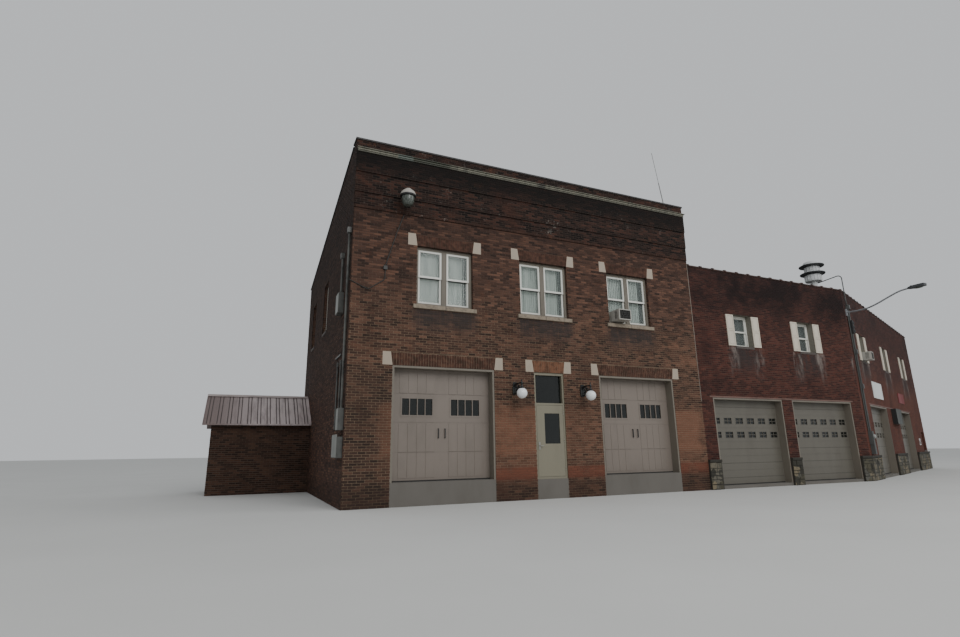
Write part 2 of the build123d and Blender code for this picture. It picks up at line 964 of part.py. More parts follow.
def sash_pair(start, width, foot, head, front):
    for low, high, near in sash_levels(foot, head, front):
        block(start, start + width, near, near + sash_thick, low, high)
        block(
            start + sash_rail, start + width - sash_rail, near, near + sash_thick,
            low + sash_rail, high - sash_rail, Mode.SUBTRACT,
        )


def sash_glass(start, width, foot, head, front):
    for low, high, near in sash_levels(foot, head, front):
        pane = near + (sash_thick - glass_thick) / 2
        block(
            start + sash_rail, start + width - sash_rail, pane, pane + glass_thick,
            low + sash_rail, high - sash_rail,
        )


def each_sash(draw):
    """Draw the sashes, or their glass, in every window."""
    with Locations(main_plane):
        for centre in window_centres:
            for start in paired_starts(centre):
                draw(
                    start, sash_width, window_sill_z + window_frame_face,
                    window_head_z - window_frame_face, window_setback + sash_inset,
                )
    for window in single_windows:
        with Locations(window.plane):
            draw(
                window.centre - window.width / 2 + slim_frame_face, window.width - 2 * slim_frame_face,
                window.foot + slim_frame_face, window.foot + window.height - slim_frame_face,
                window.setback + slim_sash_inset,
            )


with BuildPart() as window_sashes:
    each_sash(sash_pair)
write(window_sashes, "window_sashes")

with BuildPart() as window_glass:
    each_sash(sash_glass)
write(window_glass, "window_glass")

# Thin sills bedded under the single windows, flush at the back with the window frames
with BuildPart() as slim_sills:
    for window in single_windows:
        with Locations(window.plane):
            block(
                window.centre - window.width / 2, window.centre + window.width / 2,
                -slim_sill_reach, window.setback, window.foot - slim_sill_height, window.foot,
            )
write(slim_sills, "slim_sills")

# Shutters beside the wing's street windows: a frame with a middle rail round two recessed panels
with BuildPart() as shutters:
    for window in street_wing_windows:
        with Locations(window.plane):
            head = window.foot + shutter_height
            panel_height = (shutter_height - 3 * shutter_rail) / 2
            for start in (window.centre - window.width / 2 - shutter_width, window.centre + window.width / 2):
                block(start, start + shutter_width, -shutter_thick, 0, window.foot, head)
                for foot in (window.foot + shutter_rail, head - shutter_rail - panel_height):
                    block(
                        start + shutter_rail, start + shutter_width - shutter_rail,
                        -shutter_thick, shutter_panel_recess - shutter_thick,
                        foot, foot + panel_height, Mode.SUBTRACT,
                    )
write(shutters, "shutters")

# Piers beside the wing's doorways; the corner pier turns with the building
with BuildPart() as wing_piers:
    first, second = wing_door_starts
    with Locations(wing_plane):
        block(0, first, 0, wing_wall, 0, wing_head_z)
        block(first + wing_door_width, second, 0, wing_wall, 0, wing_head_z)
    corner_start = corner_x - wing_corner_pier
    first, second = angled_door_starts
    corner_plan = (
        (corner_start, front_y), (corner_x, front_y), angled_point(first, 0),
        angled_point(first, wing_wall), wing_inner_corner, (corner_start, front_y + wing_wall),
    )
    prism(Plane.XY, corner_plan, wing_head_z)
    with Locations(angled_plane):
        block(first + angled_door_width, second, 0, wing_wall, 0, wing_head_z)
        block(second + angled_door_width, angled_length, 0, wing_wall, 0, wing_head_z)
    window_holes([end_window], wing_wall)
write(wing_piers, "wing_piers")

with BuildPart() as wing_front_wall:
    wall_plan = (
        (right_x, front_y), (corner_x, front_y), wing_inner_corner, (right_x, front_y + wing_wall),
    )
    prism(Plane.XY.offset(wing_head_z), wall_plan, wing_top - wing_head_z)
    window_holes(wing_front_windows, wing_wall)
write(wing_front_wall, "wing_front_wall")

with BuildPart() as angled_wall:
    wall_plan = (
        (0, 0), (angled_length, 0), (angled_length, wing_wall), (wing_wall * half_turn, wing_wall),
    )
    prism(angled_plane.offset(wing_head_z), wall_plan, wing_top - wing_head_z)
    window_holes(angled_front_windows, wing_wall)
write(angled_wall, "angled_wall")

# The wing's end and rear walls are one run of brickwork
with BuildPart() as wing_back_walls:
    with Locations(angled_plane):
        block(angled_length - wing_wall, angled_length, wing_wall, wing_depth - wing_wall, 0, wing_top)
    wall_plan = (
        wing_rear_corner, wing_rear_inner, angled_point(angled_length, wing_depth - wing_wall),
        angled_point(angled_length, wing_depth),
    )
    prism(Plane.XY, wall_plan, wing_top)
    wall_plan = (
        (right_x, wing_rear_corner[1]), wing_rear_corner, wing_rear_inner, (right_x, wing_rear_inner[1]),
    )
    prism(Plane.XY, wall_plan, wing_top)
    window_holes(back_wing_windows, wing_wall)
write(wing_back_walls, "wing_back_walls")

# Clay coping on the wing's walls, in five runs with open joints between them
with BuildPart() as wing_coping:
    tile_back = wing_wall + tile_overhang
    turn_out = tile_overhang * half_turn
    turn_in = tile_back * half_turn
    rear_near = wing_depth - tile_back
    rear_far = wing_depth + tile_overhang
    end_out = angled_length + tile_overhang
    runs = (
        (
            wing_plane, -tile_overhang, tile_back, fit_gap, wing_width + turn_out,
            fit_gap, wing_width - turn_in,
        ),
        (angled_plane, -tile_overhang, tile_back, fit_gap - turn_out, end_out, turn_in + fit_gap, end_out),
        (
            wing_plane, rear_near, rear_far, fit_gap, wing_width - rear_near * half_turn,
            fit_gap, wing_width - rear_far * half_turn,
        ),
        (
            angled_plane, rear_near, rear_far, rear_near * half_turn + fit_gap, end_out,
            rear_far * half_turn + fit_gap, end_out,
        ),
    )
    for plane, near, far, near_start, near_end, far_start, far_end in runs:
        plan = ((near_start, near), (near_end, near), (far_end, far), (far_start, far))
        prism(plane.offset(wing_top), plan, tile_thick)
    with Locations(angled_plane):
        block(
            angled_length - tile_back, end_out, tile_back + fit_gap, rear_near - fit_gap,
            wing_top, wing_top + tile_thick,
        )
write(wing_coping, "wing_coping")

# Rubble stone bases round the feet of the wing's piers, each under a wider cap course
with BuildPart() as stone_bases:
    cap_foot = base_top - base_cap_height
    for reach, low, high in ((base_proud, 0, cap_foot), (base_proud + base_cap_reach, cap_foot, base_top)):
        first, second = wing_door_starts
        with Locations(wing_plane):
            block(0, first, -reach, 0, low, high)
            block(first + wing_door_width, second, -reach, 0, low, high)
        first, second = angled_door_starts
        corner_base = (
            (corner_start, front_y - reach), (corner_x + reach * half_turn, front_y - reach),
            angled_point(first, -reach), angled_point(first, 0), (corner_x, front_y), (corner_start, front_y),
        )
        prism(Plane.XY.offset(low), corner_base, high - low)
        with Locations(angled_plane):
            block(first + angled_door_width, second, -reach, 0, low, high)
            block(second + angled_door_width, angled_length + reach, -reach, 0, low, high)
            block(angled_length, angled_length + reach, 0, wing_depth, low, high)
write(stone_bases, "stone_bases")

# Two globe lamps on bent brackets; each cap sits on the cut top of its globe
arm_z = main_floor_z + lamp_arm_height
globe_z = main_floor_z + globe_height
globe_cut_z = globe_z + globe_radius * sin(radians(globe_cut))
with BuildPart() as lamp_brackets:
    for x in (-lamp_offset, lamp_offset):
        with Locations(main_plane):
            block(
                x - lamp_plate_width / 2, x + lamp_plate_width / 2, -lamp_plate_thick, 0,
                arm_z + lamp_plate_rise - lamp_plate_height, arm_z + lamp_plate_rise,
            )
        tube(
            main_plane,
            (
                (x, -lamp_plate_thick, arm_z), (x, -lamp_reach, arm_z),
                (x, -lamp_reach, globe_cut_z + lamp_cap_height / 2),
            ),
            lamp_arm_radius, lamp_arm_bend,
        )
        turned(
            (x, front_y - lamp_reach, globe_cut_z),
            ((lamp_cap_radius, 0), (lamp_cap_radius, lamp_cap_height)),
        )
write(lamp_brackets, "lamp_brackets")

with BuildPart() as lamp_globes:
    latitudes = [*range(globe_step - 90, globe_cut, globe_step), globe_cut]
    outline = [
        (globe_radius * cos(radians(latitude)), globe_radius * sin(radians(latitude)))
        for latitude in latitudes
    ]
    for x in (-lamp_offset, lamp_offset):
        turned((x, front_y - lamp_reach, globe_z), outline)
write(lamp_globes, "lamp_globes")

# Flood lamp: hood and rim over a tapering bowl, on a straight arm from the frieze
flood_x = left_x + flood_from_corner
flood_z = main_floor_z + flood_height
flood_face = 2 * frieze_step
with BuildPart() as flood_lamp:
    turned(
        (flood_x, front_y - flood_reach, flood_z),
        (
            (flood_hood_crown, -flood_bowl_drop), (flood_bowl_radius, -flood_rim / 2),
            (flood_hood_radius, -flood_rim / 2), (flood_hood_radius, flood_rim / 2),
            (flood_hood_crown, flood_hood_rise),
        ),
    )
    flood_arm_z = flood_z + flood_arm_rise
    tube(
        main_plane, ((flood_x, -flood_face, flood_arm_z), (flood_x, -flood_reach, flood_arm_z)),
        flood_arm_radius, 0,
    )
    with Locations(main_plane):
        block(
            flood_x - flood_plate_size / 2, flood_x + flood_plate_size / 2,
            -flood_face - flood_plate_thick, -flood_face,
            flood_arm_z - flood_plate_size / 2, flood_arm_z + flood_plate_size / 2,
        )
write(flood_lamp, "flood_lamp")

# Conduit from the frieze by the flood lamp to its junction box, and on in a slack loop to the left corner
junction_x = left_x + junction_from_corner
junction_z = main_floor_z + junction_height
junction_foot = junction_z - junction_size / 2
conduit_y = -conduit_radius - conduit_clear
with BuildPart() as service_conduits:
    with Locations(main_plane):
        block(
            junction_x - junction_size / 2, junction_x + junction_size / 2, -junction_depth, 0,
            junction_foot, junction_foot + junction_size,
        )
    tube(
        main_plane,
        (
            (flood_x, conduit_y, belt_z + conduit_y),
            (flood_x - conduit_slack, conduit_y, belt_z - conduit_fall),
            (junction_x, conduit_y, junction_foot + junction_size),
        ),
        conduit_radius, conduit_bend,
    )
    tube(
        main_plane,
        (
            (junction_x, conduit_y, junction_foot),
            (junction_x, conduit_y, junction_z - conduit_loop_drop / 2),
            ((junction_x + left_x) / 2, conduit_y, junction_z - conduit_loop_drop),
            (left_x - riser_standoff, conduit_y, junction_z - conduit_corner_drop),
        ),
        conduit_radius, conduit_bend,
    )

    # Meter box, panel and hooded riser near the front corner of the left wall
    riser_x = -riser_from_front
    hood_z = main_floor_z + riser_top
    meter_z = main_floor_z + meter_foot
    panel_z = main_floor_z + panel_foot
    box_x = -second_riser_from_front
    tube(
        left_plane,
        ((riser_x, -riser_standoff, meter_z + meter_height), (riser_x, -riser_standoff, hood_z)),
        riser_radius, 0,
    )
    tube(
        left_plane,
        (
            (box_x, -riser_standoff, white_box_foot + white_box_height),
            (box_x, -riser_standoff, second_riser_top),
        ),
        riser_radius, 0,
    )
    with Locations(left_plane):
        block(
            riser_x - meter_width / 2, riser_x + meter_width / 2, -meter_depth, 0,
            meter_z, meter_z + meter_height,
        )
        block(
            riser_x + meter_width / 2 - panel_width, riser_x + meter_width / 2, -meter_depth, 0,
            panel_z, panel_z + panel_height,
        )
        block(
            riser_x - riser_hood_size / 2, riser_x + riser_hood_size / 2,
            -riser_standoff - riser_hood_size / 2, 0, hood_z, hood_z + riser_hood_height,
        )

        # Box under the second riser, with its hood, a low strut and two low pipes
        block(
            box_x - white_box_width / 2, box_x + white_box_width / 2, -white_box_depth, 0,
            white_box_foot, white_box_foot + white_box_height,
        )
        block(
            box_x - riser_hood_size / 2, box_x + riser_hood_size / 2,
            -riser_standoff - riser_hood_size / 2, 0,
            second_riser_top, second_riser_top + riser_hood_height,
        )
        block(-strut_end, -strut_start, -strut_size, 0, strut_height, strut_height + strut_size)
    for place in low_pipe_places:
        tube(
            left_plane,
            (
                (-place, -low_pipe_radius - conduit_clear, low_pipe_foot),
                (-place, -low_pipe_radius - conduit_clear, low_pipe_top),
            ),
            low_pipe_radius, 0,
        )
        with Locations(left_plane):
            for level in (low_pipe_foot, low_pipe_top - riser_hood_size):
                block(
                    -place - 2 * low_pipe_radius, -place + 2 * low_pipe_radius, -2 * low_pipe_radius, 0,
                    level, level + riser_hood_size,
                )
write(service_conduits, "service_conduits")

# Antenna: a stout foot on the coping and a slim leaning whip
with BuildPart() as antenna:
    antenna_x = right_x - antenna_from_corner
    half = antenna_plate_size / 2
    levels = (
        parapet_z + antenna_plate_thick / 2, main_floor_z + antenna_joint_height,
        main_floor_z + antenna_top_height,
    )
    spots = [(antenna_x - antenna_lean * (level - parapet_z), antenna_from_face, level) for level in levels]
    tube(main_plane, spots[:2], antenna_foot_radius, 0)
    tube(main_plane, spots[1:], antenna_whip_radius, 0)
    with Locations(main_plane):
        block(
            antenna_x - half, antenna_x + half, antenna_from_face - half, antenna_from_face + half,
            parapet_z, parapet_z + antenna_plate_thick,
        )
write(antenna, "antenna")

# Siren: two round horns over drums with upright fins between, on a pedestal that stands on the wing roof
siren_x, siren_y = angled_point(siren_along, siren_inward)
with BuildPart() as siren:
    low, high = siren_disc_levels
    turned(
        (siren_x, siren_y, 0),
        (
            (pedestal_foot_radius, wing_roof_top),
            (pedestal_foot_radius, wing_roof_top + pedestal_foot_height),
            (pedestal_radius, wing_roof_top + pedestal_foot_height), (pedestal_radius, low - siren_skirt),
            (siren_drum_radius, low - siren_skirt), (siren_drum_radius, low - siren_disc_thick),
            (siren_disc_radius, low - siren_disc_thick), (siren_disc_radius, low),
            (siren_throat_radius, low + siren_flare),
            (siren_throat_radius, high - siren_disc_thick - siren_flare),
            (siren_disc_radius, high - siren_disc_thick), (siren_disc_radius, high),
            (siren_drum_radius, high + siren_flare), (siren_drum_radius, siren_top - siren_flare),
            (siren_throat_radius / 2, siren_top),
        ),
    )
    with Locations((siren_x, siren_y, 0)):
        with PolarLocations(0, siren_fin_count):
            block(
                0, siren_throat_radius + siren_fin_reach, -siren_fin_thick / 2, siren_fin_thick / 2,
                low - siren_disc_thick, high,
            )
write(siren, "siren")

# Service mast on the corner with its boxes, and the conduit over the parapet from the siren
with BuildPart() as service_mast:
    half = mast_clamp_size / 2
    over_z = wing_top + tile_thick + over_conduit_rise
    over_start = siren_inward - pedestal_radius - over_conduit_radius - fit_gap
    tube(
        angled_plane, ((mast_along, -mast_standoff, mast_bottom), (mast_along, -mast_standoff, mast_top)),
        mast_radius, 0,
    )
    tube(
        angled_plane,
        (
            (siren_along, over_start, over_z - over_conduit_bend),
            (mast_along - mast_clamp_size, -mast_standoff, over_z),
            (mast_along - mast_clamp_size, -mast_standoff, mast_top + mast_clamp_size),
            (mast_along, -mast_standoff, mast_top - mast_clamp_size),
        ),
        over_conduit_radius, over_conduit_bend,
    )
    with Locations(angled_plane):
        for height in (*mast_clamp_heights, mast_top - mast_clamp_size):
            block(
                mast_along - half, mast_along + half, -mast_standoff - 2 * mast_radius, 0,
                height, height + mast_clamp_size,
            )
        block(
            mast_along - mast_box_width / 2, mast_along + mast_box_width / 2, -mast_box_depth, 0,
            mast_bottom, mast_bottom + mast_box_height,
        )
        block(
            mast_along - mast_panel_width / 4, mast_along + mast_panel_width * 3 / 4, -mast_box_depth, 0,
            mast_bottom - mast_panel_height, mast_bottom,
        )
write(service_mast, "service_mast")

# Street lamp on a rising arm that runs straight out over the street
with BuildPart() as street_lamp:
    arm_plane = Plane(origin=(*angled_point(street_lamp_along, 0), 0))
    arm_end_z = street_lamp_height + street_lamp_rise
    tube(
        arm_plane,
        (
            (0, -street_plate_thick * 2 / 3, street_lamp_height),
            (0, -street_lamp_reach * 2 / 5, street_lamp_height - street_lamp_dip),
            (0, -street_lamp_reach, arm_end_z), (0, -street_lamp_reach - street_head_length / 2, arm_end_z),
        ),
        street_lamp_radius, street_lamp_bend,
    )
    with Locations(arm_plane):
        block(
            -street_head_width / 2, street_head_width / 2, -street_lamp_reach - street_head_length,
            -street_lamp_reach, arm_end_z - street_head_height / 2, arm_end_z + street_head_height / 2,
        )
    with Locations(angled_plane):
        block(
            street_lamp_along - street_plate_width / 2, street_lamp_along + street_plate_width / 2,
            -street_plate_thick, 0,
            street_lamp_height - street_plate_height / 2, street_lamp_height + street_plate_height / 2,
        )
write(street_lamp, "street_lamp")


def cooler(start, back, foot):
    """Air conditioner that stands out of a window, with a rim round its recessed face."""
    block(start, start + cooler_width, -cooler_reach, back, foot, foot + cooler_height)
    block(
        start + cooler_rim, start + cooler_width - cooler_rim, -cooler_reach, cooler_recess - cooler_reach,
        foot + cooler_rim, foot + cooler_height - cooler_rim, Mode.SUBTRACT,
    )


with BuildPart() as air_conditioners:
    with Locations(main_plane):
        cooler(
            window_centres[-1] - window_width / 2 + main_cooler_from_edge,
            window_setback + sash_inset + sash_thick + fit_gap, window_sill_z + window_frame_face,
        )
    with Locations(angled_plane):
        cooler(
            angled_window_centres[0] - angled_cooler_from_centre,
            wing_window_setback + slim_sash_inset + sash_thick + fit_gap, wing_window_sill + slim_frame_face,
        )
write(air_conditioners, "air_conditioners")

# Annex against the left wall
annex_front_y = front_y + annex_front_from_front
annex_left_x = left_x - annex_length
annex_middle_y = (annex_front_y + rear_y) / 2
annex_slope = (annex_ridge_height - annex_eave_height) / (annex_middle_y - annex_front_y)


def annex_profile(inset):
    """Gabled outline of the annex, with its upright sides moved in."""
    eave = annex_eave_height + inset * annex_slope
    return (
        (annex_front_y + inset, 0), (annex_front_y + inset, eave), (annex_middle_y, annex_ridge_height),
        (rear_y - inset, eave), (rear_y - inset, 0),
    )


with BuildPart() as annex_walls:
    prism(Plane.YZ.offset(annex_left_x), annex_profile(0), annex_length)
    prism(
        Plane.YZ.offset(annex_left_x + annex_wall), annex_profile(annex_wall),
        annex_length - annex_wall, Mode.SUBTRACT,
    )
write(annex_walls, "annex_walls")


def annex_sheet(start_x, width, thick):
    """Part of the gabled roof, lying on the annex walls and past both eaves."""
    eave = annex_eave_height - annex_overhang * annex_slope
    outline = (
        (annex_front_y - annex_overhang, eave), (annex_middle_y, annex_ridge_height),
        (rear_y + annex_overhang, eave), (rear_y + annex_overhang, eave + thick),
        (annex_middle_y, annex_ridge_height + thick), (annex_front_y - annex_overhang, eave + thick),
    )
    prism(Plane.YZ.offset(start_x), outline, width)


# Metal roof over the annex, with standing ribs from ridge to eaves
with BuildPart() as annex_roof:
    sheet_start = annex_left_x - annex_overhang
    sheet_width = annex_length + annex_overhang
    annex_sheet(sheet_start, sheet_width, annex_roof_thick)
    rib_pitch = (sheet_width - annex_rib_width) / (annex_rib_count - 1)
    for rib in range(annex_rib_count):
        annex_sheet(sheet_start + rib * rib_pitch, annex_rib_width, annex_roof_thick + annex_rib_height)
write(annex_roof, "annex_roof")
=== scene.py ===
"""Looks of a brick fire station: brickwork, doors, windows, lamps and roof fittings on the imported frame."""

import math
import random

import bpy
from mathutils import Matrix, Vector


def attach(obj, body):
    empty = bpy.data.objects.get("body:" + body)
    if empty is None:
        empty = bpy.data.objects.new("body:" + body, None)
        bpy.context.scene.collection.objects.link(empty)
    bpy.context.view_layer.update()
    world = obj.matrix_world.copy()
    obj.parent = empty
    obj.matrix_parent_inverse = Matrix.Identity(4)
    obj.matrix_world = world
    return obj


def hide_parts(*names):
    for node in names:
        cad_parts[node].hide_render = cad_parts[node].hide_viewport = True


bl_info = {
    "name": "Fire Station Looks",
    "version": (1, 0, 0),
    "blender": (4, 5, 0),
    "location": "3D View > Sidebar > Fire Station",
    "description": "Models and finishes a two-storey brick fire station with a lower wing",
    "category": "Object",
}

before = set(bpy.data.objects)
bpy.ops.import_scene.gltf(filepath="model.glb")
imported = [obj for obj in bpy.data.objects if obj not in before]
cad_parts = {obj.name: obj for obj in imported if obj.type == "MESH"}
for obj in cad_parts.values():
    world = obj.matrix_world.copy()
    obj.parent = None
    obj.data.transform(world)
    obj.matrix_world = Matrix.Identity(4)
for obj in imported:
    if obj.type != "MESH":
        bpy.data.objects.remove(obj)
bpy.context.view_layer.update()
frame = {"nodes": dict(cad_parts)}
nodes = frame["nodes"]


def at(x=0.0, y=0.0, z=0.0, turn=0.0, axis="Z"):
    """A place in metres, turned about an axis by an angle in degrees."""
    return Matrix.Translation((x, y, z)) @ Matrix.Rotation(math.radians(turn), 4, axis)


# Where the building's corners stand, in metres
SIDE = 6.125
FRONT = -4.925
REAR = 4.925
BEND_X = 14.875
BEND = 20.5
WING_DEPTH = 9.0
ANGLED_LENGTH = 15.6
MITRE = math.tan(math.radians(BEND / 2))

# Each wall's own axes: x runs along it and y goes into it
main_face = at(0, FRONT)
wing_face = at(SIDE, FRONT)
angled_face = at(BEND_X, FRONT, turn=BEND)
left_face = at(-SIDE, FRONT, turn=-90)
end_face = angled_face @ at(ANGLED_LENGTH, turn=90)

# Floors, tops of the walls, heads of the street openings, and the foot and head of the upper windows
MAIN_FLOOR = 0.6
WING_FLOOR = 0.1
PARAPET = 10.24
WING_TOP = 7.92
BASE_TOP = 0.982
ARCH_HEAD = 3.678
ARCH_HEIGHT = 0.365
LINTEL_HEAD = 3.11
LINTEL_TOP = 3.165
UPPER = (5.446, 7.217)
WING_UPPER = (5.05, 6.27)

# Centres of the street windows along their walls, and where the wing's doors start
PAIRED = (-3.38, -0.04, 3.30)
PAIRED_PITCH = 3.34
SASH_STARTS = (-0.7975, 0.075)
WING_WINDOWS = (2.49, 6.005)
ANGLED_WINDOWS = (2.3, 7.25, 12.2)
WING_DOORS = (0.55, 4.61)
ANGLED_DOORS = (1.8, 8.1)
WING_DOOR_WIDTH = 3.52
ANGLED_DOOR_WIDTH = 3.60

# The annex's gable: its middle, and how far each half of the roof rises and runs
ANNEX_MIDDLE = 3.55
ANNEX_RISE = 0.95
ANNEX_RUN = 1.375

# The least length and height of a cut brick, and how unevenly the bricks stand out
LEAST_LONG = 0.012
LEAST_HIGH = 0.008
UNEVEN = 0.0015


# Sizes and colours


def length(name, description, value):
    return bpy.props.FloatProperty(name=name, description=description, default=value, unit="LENGTH")


class StationSizes(bpy.types.PropertyGroup):
    """Sizes of the repeated pieces."""

    brick_length: length("Brick length", "Length of a brick with its joint", 0.213)
    course_height: length("Course height", "Height of a brick course with its joint", 0.070)
    joint_width: length("Joint width", "Width of the mortar joints", 0.012)
    board_proud: length("Board relief", "How far the boards stand out of the main doors", 0.007)
    slat_width: length("Blind slat width", "Width of one slat of the vertical blinds", 0.089)
    tile_length: length("Coping tile length", "Length of one clay coping tile", 0.61)


def srgb(value):
    """Turn an sRGB hex colour to the linear values that Blender shades with."""
    channels = [int(value[place : place + 2], 16) / 255 for place in (0, 2, 4)]
    return [c / 12.92 if c <= 0.04045 else ((c + 0.055) / 1.055) ** 2.4 for c in channels] + [1.0]


def colour(name, description, value):
    return bpy.props.FloatVectorProperty(
        name=name, description=description, default=srgb(value), size=4, subtype="COLOR", min=0, max=1,
    )


class StationColours(bpy.types.PropertyGroup):
    """Main colours of the finishes."""

    mortar: colour("Mortar", "Lime mortar of the older brickwork", "94806A")
    door_paint: colour("Main door paint", "Baked paint of the main block's doors", "7A7067")
    wing_door_paint: colour("Wing door paint", "Baked paint of the wing's doors", "615D54")
    trim_paint: colour("Trim paint", "Paint of linings and window casings", "746D62")
    entrance_paint: colour("Entrance paint", "Paint of the entrance door and its frame", "7E7968")
    dressed_stone: colour("Dressed stone", "Limestone head stones", "A49787")
    white_paint: colour("Window paint", "White paint of the sashes", "D8D8D0")
    shutter_paint: colour("Shutter paint", "Cream moulded shutters", "C9C0B0")


# Materials


class Signal:
    """A value that runs between shader nodes, which can be reckoned with."""

    def __init__(self, look, socket):
        self.look, self.socket = look, socket

    def __add__(self, other):
        return self.look.add("Math", (self, other), operation="ADD")

    def __sub__(self, other):
        return self.look.add("Math", (self, other), operation="SUBTRACT")

    def __rsub__(self, other):
        return self.look.add("Math", (other, self), operation="SUBTRACT")

    def __mul__(self, other):
        return self.look.add("Math", (self, other), operation="MULTIPLY")

    def __abs__(self):
        return self.look.add("Math", (self,), operation="ABSOLUTE")

    def __gt__(self, other):
        return self.look.add("Math", (self, other), operation="GREATER_THAN")

    def __or__(self, other):
        return self.look.add("Math", (self, other), operation="MAXIMUM")

    def ramp(self, low, high, end=1.0, start=0.0):
        """Go smoothly from start to end as the value goes from low to high."""
        return self.look.add(
            "MapRange", (self, low, high, start, end), "Result", interpolation_type="SMOOTHSTEP",
        )

    def beside(self, name):
        """Another output of the same node."""
        return Signal(self.look, self.socket.node.outputs[name])


class Look:
    """A material as it is built: its nodes, the colour so far, and the place that its patterns follow."""

    def __init__(self, name, face=None, **fixed):
        """Start a material; fixed values go on the shader itself."""
        self.material = bpy.data.materials.new(name)
        self.material.use_nodes = True
        self.tree = self.material.node_tree
        self.shader = self.tree.nodes["Principled BSDF"]
        for socket, value in fixed.items():
            self.shader.inputs[socket.replace("_", " ")].default_value = value
        self.face = face
        self.place = self.add("TexCoord", out="Object")

    def add(self, kind, values=(), out=0, **settings):
        """Add a node, set its settings, and fill its sockets with values, hex colours or links."""
        node = self.tree.nodes.new("ShaderNode" + kind)
        for name, value in settings.items():
            setattr(node, name, value)
        for socket, value in values.items() if isinstance(values, dict) else enumerate(values):
            if isinstance(value, Signal):
                self.tree.links.new(value.socket, node.inputs[socket])
            else:
                node.inputs[socket].default_value = srgb(value) if isinstance(value, str) else value
        return Signal(self, node.outputs[out])

    def parts(self, vector):
        """The x, y and z of a place or a direction."""
        x = self.add("SeparateXYZ", (vector,))
        return x, x.beside("Y"), x.beside("Z")

    def tint(self, under, over, amount):
        """Lay one colour over another by an amount."""
        return self.add("Mix", {0: amount, 6: under, 7: over}, 2, data_type="RGBA")

    def lay(self, over, amount):
        """Lay a colour over the face so far."""
        self.face = self.tint(self.face, over, amount)

    def cloud(self, scale, detail=4.0, rough=0.55, stretch=(1, 1, 1), offset=(0, 0, 0)):
        """Noise between 0 and 1; scale is in features a metre."""
        moved = self.add("Mapping", {"Vector": self.place, "Scale": stretch, "Location": offset})
        noise = {"Vector": moved, "Scale": scale, "Detail": detail, "Roughness": rough}
        return self.add("TexNoise", noise, "Fac")

    def relief(self, height, depth, strength, **under):
        """Bump of a real depth in metres, over another where Normal is given."""
        bump = self.add("Bump", {"Height": height, "Distance": depth, "Strength": strength, **under})
        self.tree.links.new(bump.socket, self.shader.inputs["Normal"])
        return bump

    def done(self, rough=None):
        """Put the colour, and any roughness that varies, on the shader."""
        self.tree.links.new(self.face.socket, self.shader.inputs["Base Color"])
        if rough:
            self.tree.links.new(rough.socket, self.shader.inputs["Roughness"])
        return self.material


def toned(look, value, tones):
    """Colours along a value, from pairs of a position and a tone."""
    shades = look.add("ValToRGB", (value,))
    elements = shades.socket.node.color_ramp.elements
    for element, (spot, tone) in zip(elements, (tones[0], tones[-1])):
        element.position, element.color = spot, srgb(tone)
    for spot, tone in tones[1:-1]:
        elements.new(spot).color = srgb(tone)
    return shades


def near_repeats(along, first, pitch):
    """Distance along a wall to the nearest of its evenly spaced windows."""
    return abs(along.look.add("Math", (along - first, pitch / 2, -pitch / 2), operation="WRAP"))


def wall_place(look, bent=False):
    """Place along a wall and up it in metres, on its front, its reveals and its top.

    Its x and z follow, and whether it is past the wing's mitred corner, where it turns with the building.
    """
    facing, beyond = look.add("TexCoord", out="Normal"), 0.0
    if bent:
        corner, mitre = (BEND_X, FRONT, 0), math.radians(BEND / 2)
        spot = look.add("VectorMath", (look.place, corner), operation="SUBTRACT")
        across = look.add(
            "VectorMath", (spot, (math.cos(mitre), math.sin(mitre), 0)), "Value", operation="DOT_PRODUCT",
        )
        beyond = across > 0.0
        turn = {"Angle": beyond * math.radians(-BEND)}
        look.place = look.add(
            "VectorRotate", {"Vector": look.place, "Center": corner, **turn}, rotation_type="Z_AXIS",
        )
        facing = look.add("VectorRotate", {"Vector": facing, **turn}, rotation_type="Z_AXIS")
    x, y, z = look.parts(look.place)
    normal = look.parts(facing)
    sideways, upward = abs(normal[0]) > 0.7, abs(normal[2]) > 0.7
    along = look.add("Mix", {0: sideways, 2: x, 3: y}, data_type="FLOAT")
    up = look.add("Mix", {0: upward, 2: z, 3: y}, data_type="FLOAT")
    return look.add("CombineXYZ", (along, up)), x, z, beyond


def brick_face(look, flat, tones, mortar, sizes):
    """Bricks in running bond as the look's face; gives back the mask of their joints."""
    shade = look.add(
        "TexBrick",
        {
            "Vector": flat, "Color1": (0, 0, 0, 1), "Color2": (1, 1, 1, 1), "Mortar": (0.5, 0.5, 0.5, 1),
            "Scale": 1.0, "Mortar Size": sizes.joint_width / 2, "Mortar Smooth": 0.25, "Bias": 0.0,
            "Brick Width": sizes.brick_length, "Row Height": sizes.course_height,
        },
        "Color", offset=0.5,
    )
    joint = shade.beside("Fac")
    look.face = look.tint(toned(look, shade, tones), mortar, joint)
    return joint


def bricks_done(look, joint, depth=0.006):
    """Raked joints and a fine sandy face."""
    joints = look.relief(1.0 - joint, depth, 0.9)
    look.relief(look.cloud(160, 3), 0.0015, 0.5, Normal=joints)
    return look.done()


